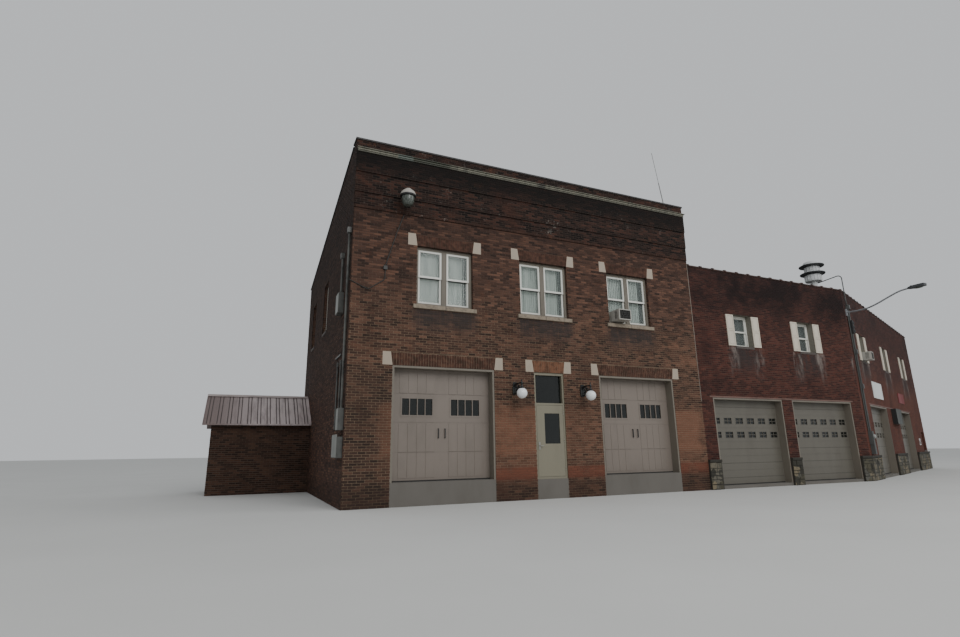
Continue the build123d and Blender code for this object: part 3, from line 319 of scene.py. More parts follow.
def main_brick(sizes, colours):
    """Hard-burnt red-brown facing brick in pale lime mortar: matt, sooted high up, patched in orange low down."""
    look = Look("weathered_main_brick", Roughness=0.9, Specular_IOR_Level=0.2)
    flat, along, height, _ = wall_place(look)
    street = look.parts(look.place)[1].ramp(-4.7, -4.85)
    # On the left wall the mortar and the bricks are painted darker as shade
    shaded = along.ramp(-6.105, -6.12)
    mortar = look.tint(colours.mortar, "62534A", height.ramp(4.6, 6.6))
    tones = ((0.0, "312621"), (0.2, "413029"), (0.5, "4E3930"), (0.8, "5A4136"), (1.0, "6A4D3F"))
    joint = brick_face(look, flat, tones, look.tint(mortar, "3C312A", shaded), sizes)
    look.lay("2C201C", look.cloud(1.3, 6, 0.62).ramp(0.5, 0.78, 0.5))
    look.lay("6E4A3A", look.cloud(2.6, 5, 0.6).ramp(0.55, 0.8, 0.4))

    # Piers rebuilt in orange brick: beside the entrance, and a ragged strip beside each garage door
    ragged = look.cloud(1.6, 5, 0.65, offset=(3, 0, 1))
    out = abs(along)
    edge = out + (ragged - 0.5) * 0.9
    centre = out.ramp(2.0, 1.86) * ragged.ramp(0.3, 0.6, 0.9, 0.3) * along.ramp(0.3, 0.7, 0.4, 1.0)
    strip = edge.ramp(5.3, 5.15) * out.ramp(4.85, 4.9) * 0.75
    corner = along.ramp(4.8, 4.9) * edge.ramp(6.1, 5.8, 0.85, 0.25)
    band = height.ramp(1.15, 1.5) * height.ramp(2.75, 2.5)
    low = height.ramp(0.6, 0.75) * height.ramp(1.6, 1.3) * 0.45
    patch = (centre | strip | corner) * (band + low)
    upper = along.ramp(4.2, 5.4) * height.ramp(3.9, 4.3) * height.ramp(5.2, 4.8) * ragged.ramp(0.45, 0.62, 0.7)
    look.lay(look.tint("7D5745", look.face, joint), (patch | upper) * street * 0.8)
    foot = (out.ramp(2.0, 1.86) | along.ramp(4.8, 4.9)) * height.ramp(0.95, 0.86) * height.ramp(0.50, 0.62)
    look.lay("6E4234", foot * ragged.ramp(0.25, 0.55, 0.75, 0.2) * street)

    # Damp at the foot, soot on the left pier, and soot streaks that run down under each sill
    look.lay("33251F", height.ramp(0.75, 0.35) * 0.45)
    soot = street * along.ramp(-4.7, -5.1) * height.ramp(4.2, 3.0) * ragged.ramp(0.2, 0.6, 0.3, 0.65)
    look.lay(look.tint("2E2824", look.face, joint), soot)
    beside = near_repeats(along, PAIRED[1], PAIRED_PITCH).ramp(1.15, 0.75)
    streaks = look.cloud(1.0, 5, 0.65, (9, 1, 0.7)).ramp(0.28, 0.52)
    under = street * out.ramp(4.9, 4.6) * beside * height.ramp(5.33, 5.28) * height.ramp(4.45, 5.1) * streaks
    look.lay("383433", under * 0.75)

    # The upper wall is darker, washed-out lime leaves pale flecks, and the left wall is painted darker as shade, more
    # so higher up
    look.lay("211917", height.ramp(6.9, 8.3, 0.35))
    look.lay("8A8178", look.cloud(5.5, 6, 0.72).ramp(0.66, 0.8, 0.35))
    look.lay("1E1815", shaded * height.ramp(0.5, 7.0, 0.55))
    return bricks_done(look, joint)


def frieze_brick(sizes):
    """The same brick where rain and soot have turned it black-brown, with lime bloom and pale chips."""
    look = Look("sooted_frieze_brick", Roughness=0.9, Specular_IOR_Level=0.2)
    flat, along, height, _ = wall_place(look)
    tones = ((0.0, "130E0D"), (0.4, "241A17"), (0.7, "32231E"), (1.0, "452D25"))
    joint = brick_face(look, flat, tones, "453D36", sizes)
    worn = look.cloud(0.7, 5, 0.6).ramp(0.5, 0.72, 0.6)
    look.lay("432B23", worn)
    look.lay("63402F", look.cloud(1.5, 5, 0.62, offset=(7, 2, 0)).ramp(0.62, 0.74, 0.6))
    bloom = look.cloud(1.1, 7, 0.74, offset=(1, 5, 3)).ramp(0.54, 0.7, 0.75)
    fleck = look.cloud(11, 5, 0.72).ramp(0.53, 0.66)
    look.lay("969088", bloom * fleck)
    look.lay("141211", height.ramp(8.9, 9.7) * height.ramp(9.95, 9.9) * 0.85)

    # The lowest step shows browner, with a chalked length at its left
    belt = height.ramp(8.10, 8.13) * height.ramp(8.22, 8.19)
    look.lay("4C362C", belt * worn.ramp(0.0, 0.5, 0.7, 0.3))
    chalked = along.ramp(-5.0, -4.8) * along.ramp(-3.2, -3.5)
    look.lay("8C827A", belt * chalked * fleck.ramp(0.2, 0.9) * 0.7)
    return bricks_done(look, joint)


def wing_brick(sizes):
    """Newer maroon brick of the wing: even, fine joints, sooted at the top, pale runs under the shutters."""
    look = Look("maroon_wing_brick", Roughness=0.85, Specular_IOR_Level=0.2)
    flat, along, height, beyond = wall_place(look, bent=True)
    tones = ((0.0, "321C1A"), (0.35, "3E2420"), (0.7, "4B2A24"), (1.0, "57332B"))
    joint = brick_face(look, flat, tones, "5C4C42", sizes)
    mottle = look.cloud(1.1, 6, 0.62)
    look.lay("221414", mottle.ramp(0.48, 0.75, 0.5))
    look.lay("64392D", look.cloud(1.9, 5, 0.6).ramp(0.58, 0.8, 0.45))
    damp = height.ramp(5.4, 7.2) * look.cloud(0.6, 4, 0.6).ramp(0.4, 0.62, 0.9, 0.35)
    look.lay("1A1212", damp * (1.0 - beyond * 0.45))
    low = beyond * height.ramp(5.2, 3.6) * mottle.ramp(0.25, 0.7, 0.35, 0.75)
    look.lay(look.tint("65392D", look.face, joint), low)

    # Soot hangs under the windows, and pale runs start at the shutters' feet and fade down the wall
    before = near_repeats(along, SIDE + 2.49, 3.515)
    after = near_repeats(along, BEND_X + 2.3, 4.95)
    beside = look.add("Mix", {0: beyond, 2: before, 3: after}, data_type="FLOAT")
    streaks = look.cloud(1.0, 6, 0.72, (3.5, 1, 0.9))
    dark = beside.ramp(1.05, 0.5) * height.ramp(5.02, 4.9) * height.ramp(3.7, 4.7) * streaks.ramp(0.28, 0.55)
    look.lay("373231", dark * 0.8)
    runs = beside.ramp(0.30, 0.55) * beside.ramp(1.05, 0.8) * abs(along - 14.1).ramp(0.5, 0.8)
    runs = runs * height.ramp(5.05, 4.98) * height.ramp(3.6, 4.8) * streaks.ramp(0.44, 0.66)
    look.lay("8A7F78", runs * 0.8)

    # The reveals of the upper windows are rendered grey
    inward = look.parts(look.place)[1]
    reveal = inward.ramp(FRONT + 0.012, FRONT + 0.02) * inward.ramp(FRONT + 0.24, FRONT + 0.23)
    look.lay("8A877C", reveal * height.ramp(4.90, 4.96) * height.ramp(6.3, 6.26) * 0.85)
    return bricks_done(look, joint, 0.005)


def annex_brick(sizes):
    """Plain brown brick of the annex, its tones painted darker as shade."""
    look = Look("shaded_annex_brick", Roughness=0.9, Specular_IOR_Level=0.2)
    tones = ((0.0, "2E221D"), (0.4, "3D2C25"), (0.7, "48332A"), (1.0, "523B30"))
    joint = brick_face(look, wall_place(look)[0], tones, "584C42", sizes)
    look.lay("241B17", look.cloud(1.0, 6, 0.62).ramp(0.45, 0.75, 0.5))
    return bricks_done(look, joint, 0.005)


def arch_brick():
    """Burnt bricks stood on end: each a slightly different red, sooty at the edges."""
    look = Look("soldier_arch_brick", Roughness=0.85, Specular_IOR_Level=0.2)
    blocks = look.add("TexNoise", {"Vector": look.place, "Scale": 9.0, "Detail": 1.0}, "Fac")
    look.face = toned(look, blocks, ((0.3, "38281F"), (0.5, "462F27"), (0.7, "563C30")))
    look.lay("2A1E1A", look.cloud(3, 5).ramp(0.5, 0.8, 0.5))

    # The arch over the entrance was relaid in a more orange brick
    x, y, z = look.parts(look.place)
    inside = abs(x).ramp(0.62, 0.58) * z.ramp(4.3, 4.2)
    look.lay("74503C", inside * blocks.ramp(0.3, 0.6, 0.9, 0.4))
    look.relief(look.cloud(150, 3), 0.0015, 0.5)
    return look.done()


def painted(name, base, rough=0.42, dirt="4A443C", amount=0.3):
    """Paint on metal or wood: a soft sheen, faint roller marks, dust that gathers in slow clouds."""
    look = Look(name, base)
    cast = look.cloud(1.2, 5, 0.6, (1, 1, 0.4))
    look.lay(dirt, cast.ramp(0.42, 0.8, amount))
    look.lay(dirt, look.cloud(38, 3, 0.6).ramp(0.66, 0.78, 0.35))
    look.relief(look.cloud(90, 3), 0.0008, 0.4)
    return look.done(cast.ramp(0.3, 0.7, rough + 0.16, rough))


def mottled(name, base, shade, cast, ramp=None, grain=None, **fixed):
    """One colour over another in slow clouds, and a grain from its noise, depth and strength."""
    look = Look(name, base, **fixed)
    noise = look.cloud(*cast)
    look.lay(shade, noise.ramp(*ramp) if ramp else noise)
    if grain:
        look.relief(look.cloud(*grain[0]), *grain[1:])
    return look.done()


def stone(name, base, shade, rough=0.8, scale=9.0):
    """Sawn limestone: fine grain, soft grey weathering and small pits."""
    look = Look(name, base, Roughness=rough)
    look.lay(shade, look.cloud(scale, 6, 0.65).ramp(0.42, 0.75, 0.6))
    pits = look.cloud(70, 4, 0.7)
    look.lay("5C544A", pits.ramp(0.62, 0.75, 0.4))
    look.relief(pits, 0.002, 0.6)
    return look.done()


def sill_stone():
    """Brown weathered sill stone in two lengths that meet under the middle of each window."""
    look = Look("weathered_sill_stone", "8C8070", Roughness=0.85)
    grain = look.cloud(9, 6, 0.65)
    look.lay("574F46", grain.ramp(0.4, 0.72, 0.7))
    middle = near_repeats(look.parts(look.place)[0], PAIRED[1], PAIRED_PITCH)
    look.lay("2A2622", middle.ramp(0.012, 0.004))
    look.relief(grain, 0.003, 0.6)
    return look.done()


def fieldstone():
    """Split fieldstone: olive, tan and grey stones with lichen and damp feet."""
    look = Look("split_fieldstone", Roughness=0.9)
    patches = look.add("TexVoronoi", {"Vector": look.place, "Scale": 3.4, "Randomness": 1.0}, "Color")
    tones = ((0.1, "2F2D25"), (0.4, "504B3B"), (0.65, "58564F"), (0.9, "776C56"))
    look.face = toned(look, look.add("SeparateColor", (patches,)), tones)
    look.lay("3A382F", look.cloud(12, 6, 0.7).ramp(0.45, 0.7, 0.7))
    look.relief(look.cloud(30, 6, 0.7), 0.01, 0.7)
    return look.done()


def bed_mortar():
    """Lime mortar: tan and sandy over the doors, sooted to brown over the windows."""
    look = Look("lime_mortar", "8A7864", Roughness=0.95)
    look.lay("4C3D34", look.parts(look.place)[2].ramp(5.0, 6.5))
    look.lay("4A3C32", look.cloud(6, 5).ramp(0.4, 0.7, 0.8, 0.1))
    look.relief(look.cloud(200, 3), 0.002, 0.7)
    return look.done()


def cornice_metal():
    """Painted sheet-metal cornice in lapped lengths: cream, one greenish, one overgrown with moss."""
    look = Look("pressed_cornice_metal", "6C6A5C", Roughness=0.6)
    x, y, z = look.parts(look.place)
    streaks = look.cloud(1.2, 5, 0.65, (5, 1, 1))
    look.lay("47463C", streaks.ramp(0.4, 0.72))
    along = x + (streaks - 0.5) * 0.3
    look.lay("505A53", along.ramp(-4.95, -4.90) * along.ramp(-4.40, -4.45) * 0.85)
    look.lay(look.tint("20221A", "363A28", streaks), along.ramp(-4.45, -4.40) * along.ramp(-3.1, -3.4) * 0.92)
    look.lay("25241F", along.ramp(-0.25, -0.1) * along.ramp(0.15, 0.05) * 0.8)
    look.lay("2A2823", z.ramp(9.87, 9.84, 0.5))
    look.relief(look.cloud(30, 4), 0.002, 0.5)
    return look.done()


def roof_sheet():
    """Painted ribbed sheet: faded pinkish grey, darker and browner towards the gable end."""
    look = Look("annex_roof_sheet", "766561", Roughness=0.45)
    look.lay("B9ACAA", look.parts(look.place)[0].ramp(-9.6, -7.6))
    look.lay("6A5B59", look.cloud(2.0, 5, 0.6, (3, 0.5, 0.5)).ramp(0.42, 0.7, 0.5))
    look.relief(look.cloud(60, 3), 0.001, 0.4)
    return look.done()


def conduit_zinc():
    """Zinc conduit and boxes: sooted dark on the front, paler on the main riser round the corner."""
    look = Look("zinc_conduit", Roughness=0.5)
    cast = look.cloud(3, 5)
    front = look.tint("1D1D1A", "2B2B27", cast)
    side = look.tint("5C5D59", "383835", cast.ramp(0.4, 0.7))
    look.face = look.tint(front, side, look.parts(look.place)[1].ramp(-4.90, -4.85))
    look.relief(look.cloud(90, 3), 0.0008, 0.4)
    return look.done()


def glazed_clay():
    """Salt-glazed clay: dark red-brown, glossy in patches, dulled by soot."""
    look = Look("glazed_coping_tile", "44291F", IOR=1.5)
    wear = look.cloud(3, 6, 0.65)
    look.lay("241B18", wear.ramp(0.4, 0.68))
    return look.done(wear.ramp(0.3, 0.7, 0.8, 0.45))


def ribbed_glass():
    """Pressed lamp glass: grey-green, with fine upright ribs and a dusty foot."""
    ribs = (60, 1, 0.55, (1, 1, 0.03))
    return mottled(
        "pressed_lamp_glass", "5E645E", "343933", ribs, (0.35, 0.65), (ribs, 0.004, 0.6), Roughness=0.25, IOR=1.5,
    )


def give(material, *names):
    """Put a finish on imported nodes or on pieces."""
    for name in names:
        slots = (nodes[name] if isinstance(name, str) else name).data.materials
        if not slots:
            slots.append(material)
        for place in range(len(slots)):
            slots[place] = material


def of_node(name):
    """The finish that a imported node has."""
    return nodes[name].data.materials[0]


# Mesh helpers


def pick(*pieces):
    """Select these pieces alone; the first is active."""
    if bpy.context.mode != "OBJECT":
        bpy.ops.object.mode_set(mode="OBJECT")
    bpy.ops.object.select_all(action="DESELECT")
    for piece in reversed(pieces):
        piece.select_set(True)
        bpy.context.view_layer.objects.active = piece


def shape(piece, kind, chosen, operator, **settings):
    """Run an edit-mode operator on the faces, edges or points of a piece that a test picks."""
    pick(piece)
    mesh = piece.data
    for part in {"FACE": mesh.polygons, "EDGE": mesh.edges, "VERT": mesh.vertices}[kind]:
        part.select = chosen(part)
    bpy.ops.object.mode_set(mode="EDIT")
    bpy.ops.mesh.select_mode(type=kind)
    operator(**settings)
    bpy.ops.object.mode_set(mode="OBJECT")
    return piece


def is_front(face):
    return face.normal.y < -0.9


def block(name, low, high, bevel=0.0, segments=1):
    """Cube primitive between two corners, with its edges eased."""
    pick()
    low, high = Vector(low), Vector(high)
    bpy.ops.mesh.primitive_cube_add(size=1, location=(low + high) / 2, scale=high - low)
    piece = bpy.context.object
    piece.name = name
    bpy.ops.object.transform_apply(location=True, rotation=True, scale=True)
    if bevel:
        bpy.ops.object.mode_set(mode="EDIT")
        bpy.ops.mesh.select_all(action="SELECT")
        bpy.ops.mesh.bevel(offset=bevel, segments=segments, affect="EDGES")
        bpy.ops.object.mode_set(mode="OBJECT")
    return piece


def turned(name, centre, outline, sides=32, smooth=35):
    """Circle primitive drawn up ring by ring through radius and height pairs, and closed at both ends."""
    pick()
    centre = Vector(centre)
    radius, level = outline[0]
    bpy.ops.mesh.primitive_circle_add(
        vertices=sides, radius=radius, fill_type="NGON", location=centre + Vector((0, 0, level)),
    )
    piece = bpy.context.object
    piece.name = name
    bpy.ops.object.transform_apply(location=True, rotation=True, scale=True)
    bpy.ops.object.mode_set(mode="EDIT")
    bpy.ops.mesh.select_all(action="SELECT")
    for wider, higher in outline[1:]:
        bpy.ops.mesh.extrude_region_move(TRANSFORM_OT_translate={"value": (0, 0, higher - level)})
        bpy.ops.transform.resize(
            value=(wider / radius, wider / radius, 1), center_override=centre + Vector((0, 0, higher)),
        )
        radius, level = wider, higher
    bpy.ops.mesh.select_all(action="SELECT")
    bpy.ops.mesh.normals_make_consistent(inside=False)
    bpy.ops.object.mode_set(mode="OBJECT")
    bpy.ops.object.shade_smooth_by_angle(angle=math.radians(smooth))
    return piece


def turned_forward(name, pivot, outline):
    """Turned piece laid about its centre, so that its far end faces the street."""
    piece = turned(name, pivot, outline)
    return moved(piece, at(*pivot, 90, "X") @ Matrix.Translation(-Vector(pivot)))


def rod(name, points, radius, turns=3):
    """Round bar drawn along a smooth curve and turned to a mesh."""
    pick()
    curve = bpy.data.curves.new(name, "CURVE")
    curve.dimensions = "3D"
    curve.bevel_depth = radius
    curve.bevel_resolution = turns
    curve.use_fill_caps = True
    spline = curve.splines.new("NURBS")
    spline.points.add(len(points) - 1)
    for knot, point in zip(spline.points, points):
        knot.co = (*point, 1)
    spline.order_u = min(3, len(points))
    spline.use_endpoint_u = True
    spline.resolution_u = 8
    piece = bpy.data.objects.new(name, curve)
    bpy.context.collection.objects.link(piece)
    pick(piece)
    bpy.ops.object.convert(target="MESH")
    return piece


def framed(name, low, high, depth, border=0.03, step=0.008):
    """Plate on a wall with its face set back or raised inside a border."""
    plate = block(name, (low[0], -depth, low[1]), (high[0], 0.0, high[1]), 0.004)
    return shape(plate, "FACE", is_front, bpy.ops.mesh.inset, thickness=border, depth=-step)


def moved(piece, place):
    piece.data.transform(place)
    return piece


def copied(piece, place):
    """Copy of a piece with its own mesh, set at a place."""
    copy = piece.copy()
    copy.data = piece.data.copy()
    bpy.context.collection.objects.link(copy)
    return moved(copy, place)


def join(name, pieces):
    if len(pieces) > 1:
        pick(*pieces)
        bpy.ops.object.join()
    pieces[0].name = name
    return pieces[0]


def repeat(piece, places):
    """Copy a modelled piece to each place and join the copies; the model itself goes."""
    name = piece.name
    copies = [
        copied(piece, place if isinstance(place, Matrix) else Matrix.Translation(place)) for place in places
    ]
    bpy.data.objects.remove(piece)
    return join(name, copies[::-1])


def in_row(count, pitch):
    return [(step * pitch, 0, 0) for step in range(count)]


def finish(piece, material, slot, *replaced, wall=None):
    """Set a piece on its wall and on the building, with its finish; the slot is not used."""
    if wall is not None:
        moved(piece, wall)
    give(material, piece)
    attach(piece, "building")
    if replaced:
        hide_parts(*replaced)
    return piece


# Operators


class StationStep(bpy.types.Operator):
    """One step of the building's looks."""

    bl_options = {"REGISTER", "UNDO"}

    @classmethod
    def poll(cls, context):
        return bool(nodes)

    def execute(self, context):
        self.build(context.scene.station_sizes, context.scene.station_colours)
        return {"FINISHED"}


class STATION_OT_brickwork(StationStep):
    """Finish the brick walls and the frieze"""

    bl_idname = "station.brickwork"
    bl_label = "Brickwork"

    def build(self, sizes, colours):
        give(main_brick(sizes, colours), "front_piers", "front_wall", "side_walls", "rear_wall", "flat_arches")
        give(frieze_brick(sizes), "frieze")
        give(wing_brick(sizes), "wing_front_wall", "wing_piers", "wing_back_walls", "angled_wall")
        give(annex_brick(sizes), "annex_walls")


def laid_brick(name, sizes, eased):
    """One brick as it stands out of a wall's face; on the street sides its front edges are rounded off."""
    half_long = (sizes.brick_length - sizes.joint_width) / 2
    half_high = (sizes.course_height - sizes.joint_width) / 2
    ease = 0.003 if eased else 0.0
    brick = block(name, (-half_long, ease - 0.005, -half_high), (half_long, 0.012, half_high))
    if eased:
        shape(brick, "FACE", is_front, bpy.ops.mesh.inset, thickness=ease, depth=ease)
    return brick


def cut_round(rect, holes):
    """What is left of a brick's outline beside, under and over the openings that it meets."""
    rects = [rect]
    for left, low, right, high in holes:
        kept = []
        for x0, z0, x1, z1 in rects:
            if x1 <= left or x0 >= right or z1 <= low or z0 >= high:
                kept.append((x0, z0, x1, z1))
                continue
            near, far = max(x0, left), min(x1, right)
            kept += [(x0, z0, left, z1), (right, z0, x1, z1), (near, z0, far, low), (near, high, far, z1)]
        rects = [r for r in kept if r[2] - r[0] > LEAST_LONG and r[3] - r[1] > LEAST_HIGH]
    return rects


def lay_bricks(name, wall, low, high, holes, sizes, chance, reach=0.0, eased=True, top=None):
    """Running bond over a wall's face, each brick stretched from one model and set a little in or out.

    The courses start at the ground, so that they meet the colours of the brick pattern. Thousands of
    bricks are laid at once from the model's points, because joining as many copies takes minutes.
    """
    brick = laid_brick(name, sizes, eased)
    corners = [vertex.co.copy() for vertex in brick.data.vertices]
    quads = [list(face.vertices) for face in brick.data.polygons]
    bpy.data.objects.remove(brick)
    long, tall, joint = sizes.brick_length, sizes.course_height, sizes.joint_width / 2
    half_long, half_tall = (long - sizes.joint_width) / 2, (tall - sizes.joint_width) / 2
    points, faces = [], []
    for course in range(int(low[1] / tall), int(high[1] / tall) + 1):
        z0 = max(course * tall + joint, low[1])
        z1 = min((course + 1) * tall - joint, high[1])
        if z1 - z0 < LEAST_HIGH:
            continue
        met = [hole for hole in holes if hole[1] < z1 and hole[3] > z0]
        shift = 0.0 if course % 2 else long / 2
        step = math.floor((low[0] + shift) / long)
        while step * long - shift < high[0]:
            start = step * long - shift
            step += 1
            outline = (max(start + joint, low[0]), z0, min(start + long - joint, high[0]), z1)
            if outline[2] - outline[0] < LEAST_LONG:
                continue
            for x0, y0, x1, y1 in cut_round(outline, met):
                if top is not None:
                    y1 = min(y1, top(x0), top(x1))
                    if y1 - y0 < LEAST_HIGH:
                        continue
                out = reach + chance.uniform(-UNEVEN, UNEVEN)
                first = len(points)
                for corner in corners:
                    x = x0 + corner.x + half_long if corner.x < 0 else x1 + corner.x - half_long
                    z = y0 + corner.z + half_tall if corner.z < 0 else y1 + corner.z - half_tall
                    points.append((x, corner.y - out, z))
                faces += [[first + place for place in quad] for quad in quads]
    mesh = bpy.data.meshes.new(name)
    mesh.from_pydata(points, [], faces)
    mesh.transform(wall)
    if wall.determinant() < 0:
        mesh.flip_normals()
    piece = bpy.data.objects.new(name, mesh)
    bpy.context.collection.objects.link(piece)
    return piece


def windows_at(centres, foot, head):
    """Openings of single windows with their sills, as left, low, right and high."""
    return [(centre - 0.475, foot - 0.09, centre + 0.475, head) for centre in centres]


def roof_slope(y):
    """Top of the main block's side walls, which fall to the rear."""
    fall = 1.83
    return PARAPET - fall / (REAR - FRONT) * (y - FRONT)


def annex_gable(y):
    """Top of the annex's gable wall, which falls both ways from its middle."""
    return 3.5 - abs(y - ANNEX_MIDDLE) * ANNEX_RISE / ANNEX_RUN


class STATION_OT_bricks(StationStep):
    """Model the bricks of every wall, laid in courses round the openings"""

    bl_idname = "station.bricks"
    bl_label = "Bricks"

    def build(self, sizes, colours):
        chance = random.Random(5)
        back = Matrix.Diagonal((1, -1, 1, 1))
        side = Matrix(((0, 1, 0, 0), (1, 0, 0, 0), (0, 0, 1, 0), (0, 0, 0, 1)))
        start = at(-BEND_X)
        end = BEND_X + ANGLED_LENGTH
        rear = at(0, REAR) @ back

        # Openings of the main front: doors, their arches with the stones, and windows with sill and arch
        front_holes = [(-4.9, 0, -1.85, ARCH_HEAD), (1.85, 0, 4.9, ARCH_HEAD), (-0.525, 0, 0.525, ARCH_HEAD)]
        stones_top = ARCH_HEAD + ARCH_HEIGHT
        for left, right in ((-5.18, -1.57), (1.57, 5.18), (-0.805, 0.805)):
            front_holes.append((left, ARCH_HEAD, right, stones_top))
        for centre in PAIRED:
            for half, low, high in ((0.9725, 5.331, 5.446), (0.8725, 5.446, 7.217), (1.1525, 7.217, 7.582)):
                front_holes.append((centre - half, low, centre + half, high))

        # On the left wall the annex stands under its sloping roof; on the right wall the wing does
        left_holes = windows_at((-0.175, 2.975), *UPPER) + [(2.175, 0, REAR, 2.36)]
        for step in range(18):
            level = 2.36 + step * 0.07
            half = min(1.655, (3.59 - level) / 0.69)
            if half > 0:
                left_holes.append((3.55 - half, level, min(3.55 + half, REAR), level + 0.07))
        right_holes = [(FRONT, 0, 4.09, 7.52), (FRONT, 7.4, -4.54, 8.02), (3.69, 7.4, 4.13, 8.02)]
        rear_holes = windows_at(PAIRED, *UPPER) + [(-5.725, 8.02, 5.725, 9)]

        # Openings of the wing: windows, doors and the steel lintels over them
        wing_holes = windows_at((8.615, 12.13), *WING_UPPER)
        wing_holes += [(6.675, 0, 10.195, LINTEL_HEAD), (10.735, 0, 14.255, LINTEL_HEAD)]
        wing_holes += [(6.525, LINTEL_HEAD, 14.375, LINTEL_TOP)]
        angled_holes = windows_at((17.175, 22.125, 27.075), *WING_UPPER)
        angled_holes += [(16.675, 0, 20.275, LINTEL_HEAD), (22.975, 0, 26.575, LINTEL_HEAD)]
        angled_holes += [(16.525, LINTEL_HEAD, 26.725, LINTEL_TOP), (29.275, 0.98, 30.075, 2.10)]

        main = {"top": roof_slope}
        hidden = {"eased": False}
        rows = [("front_wall", "main_front_bricks", main_face, (-SIDE, 0), (SIDE, 8.12), front_holes, {})]
        for low, high, reach in (
            (8.184, 8.60, 0.028), (8.664, 9.22, 0.056), (9.284, 9.83, 0.084), (9.965, 10.03, 0.048),
            (10.03, PARAPET, 0.028),
        ):
            rows.append(("frieze", "frieze_bricks", main_face, (-SIDE, low), (SIDE, high), [], {"reach": reach}))
        rows += [
            ("front_wall", "left_wall_bricks", at(-SIDE) @ side, (FRONT, 0), (REAR, PARAPET), left_holes, main),
            (
                "front_wall", "right_wall_bricks", at(SIDE, turn=90), (FRONT, 0), (REAR, PARAPET), right_holes,
                {**main, **hidden},
            ),
            ("front_wall", "rear_wall_bricks", rear, (-SIDE, 0), (SIDE, 8.41), rear_holes, hidden),
            (
                "wing_front_wall", "wing_front_bricks", main_face, (SIDE, BASE_TOP), (BEND_X, WING_TOP),
                wing_holes, {},
            ),
            (
                "wing_front_wall", "angled_front_bricks", angled_face @ start, (BEND_X, BASE_TOP),
                (end, WING_TOP), angled_holes, {},
            ),
            (
                "wing_front_wall", "wing_rear_bricks", at(0, FRONT + WING_DEPTH) @ back, (SIDE, 0),
                (BEND_X - MITRE * WING_DEPTH, WING_TOP), windows_at((8.025, 11.325), *WING_UPPER), hidden,
            ),
            (
                "wing_front_wall", "angled_rear_bricks", angled_face @ at(0, WING_DEPTH) @ back @ start,
                (BEND_X + MITRE * WING_DEPTH, 0), (end, WING_TOP),
                windows_at((18.675, 23.175, 27.675), *WING_UPPER), hidden,
            ),
            (
                "wing_front_wall", "end_wall_bricks", end_face @ at(-FRONT), (FRONT, BASE_TOP),
                (FRONT + WING_DEPTH, WING_TOP), windows_at((-2.025, 1.175), *WING_UPPER), hidden,
            ),
            ("annex_walls", "annex_front_bricks", at(0, 2.175), (-9.455, 0), (-SIDE, 2.50), [], {}),
            (
                "annex_walls", "annex_gable_bricks", at(-9.455) @ side, (2.175, 0), (REAR, 3.5), [],
                {"top": annex_gable},
            ),
            ("annex_walls", "annex_rear_bricks", rear, (-9.455, 0), (-SIDE, 2.50), [], hidden),
        ]
        laid = {}
        for node, name, wall, low, high, holes, options in rows:
            piece = lay_bricks(name, wall, low, high, holes, sizes, chance, **options)
            laid.setdefault((node, name), []).append(piece)
        for (node, name), pieces in laid.items():
            slot = "main_brick" if node in ("front_wall", "frieze") else "wing_brick"
            finish(join(name, pieces), of_node(node), slot)


class STATION_OT_finishes(StationStep):
    """Finish the doors, windows, stones, roofs and fittings"""

    bl_idname = "station.finishes"
    bl_label = "Finishes"

    def build(self, sizes, colours):
        for material, *names in (
            (stone("dressed_limestone", colours.dressed_stone, "9A9082"), "head_stones"),
            (sill_stone(), "window_sills"),
            (stone("sooted_slim_sill_stone", "4C443F", "2C2825"), "slim_sills"),
            (stone("rubble_bed_mortar", "34322C", "201F1B", 0.95, 3.0), "stone_bases"),
            (painted("baked_door_paint", colours.door_paint), "garage_doors"),
            (painted("baked_wing_door_paint", colours.wing_door_paint), "wing_doors"),
            (painted("casing_paint", colours.trim_paint, 0.5), "door_linings", "main_window_frames"),
            (painted("entrance_door_paint", colours.entrance_paint), "entrance_frame", "entrance_door"),
            (
                painted("white_window_paint", colours.white_paint, 0.4, "8A867C", 0.2), "window_sashes",
                "single_window_frames",
            ),
            (painted("moulded_shutter_plastic", colours.shutter_paint, 0.5, "8A8274", 0.25), "shutters"),
            (conduit_zinc(), "service_conduits"),
            (painted("sooted_mast_zinc", "494B49", 0.5, "2E2E2B", 0.4), "service_mast"),
            (painted("aluminium_tube", "6E6E6C", 0.4), "antenna"),
            (painted("cooler_enamel", "A5A29A", 0.45), "air_conditioners"),
            (roof_sheet(), "annex_roof"),
            (painted("coping_metal", "272422", 0.55), "parapet_coping"),
            (painted("roof_felt", "4A4A48", 0.85), "flat_roofs"),
            (painted("floor_concrete", "67635D", 0.85), "ground_floors", "upper_floors"),
            (painted("black_iron_paint", "1E1E1E", 0.4, "3A3836", 0.3), "garage_handles"),
            # Brushed steel, dulled by hands
            (
                mottled("satin_steel", "B4B2AC", "8A8880", (30, 4), Metallic=1.0, Roughness=0.35),
                "entrance_handle", "entrance_hinges",
            ),
            # Float glass: clear upstairs; in the doors painted nearly black as the shade of the dark halls behind it
            (
                mottled(
                    "clear_window_glass", "A8B2AE", "8E9894", (2, 4), Roughness=0.04, IOR=1.52, Alpha=0.16,
                ), "window_glass",
            ),
            (
                mottled("dark_door_glass", "101312", "1C201E", (2, 4), Roughness=0.04, IOR=1.52, Alpha=0.86),
                "door_glass", "entrance_door_glass",
            ),
        ):
            give(material, *names)


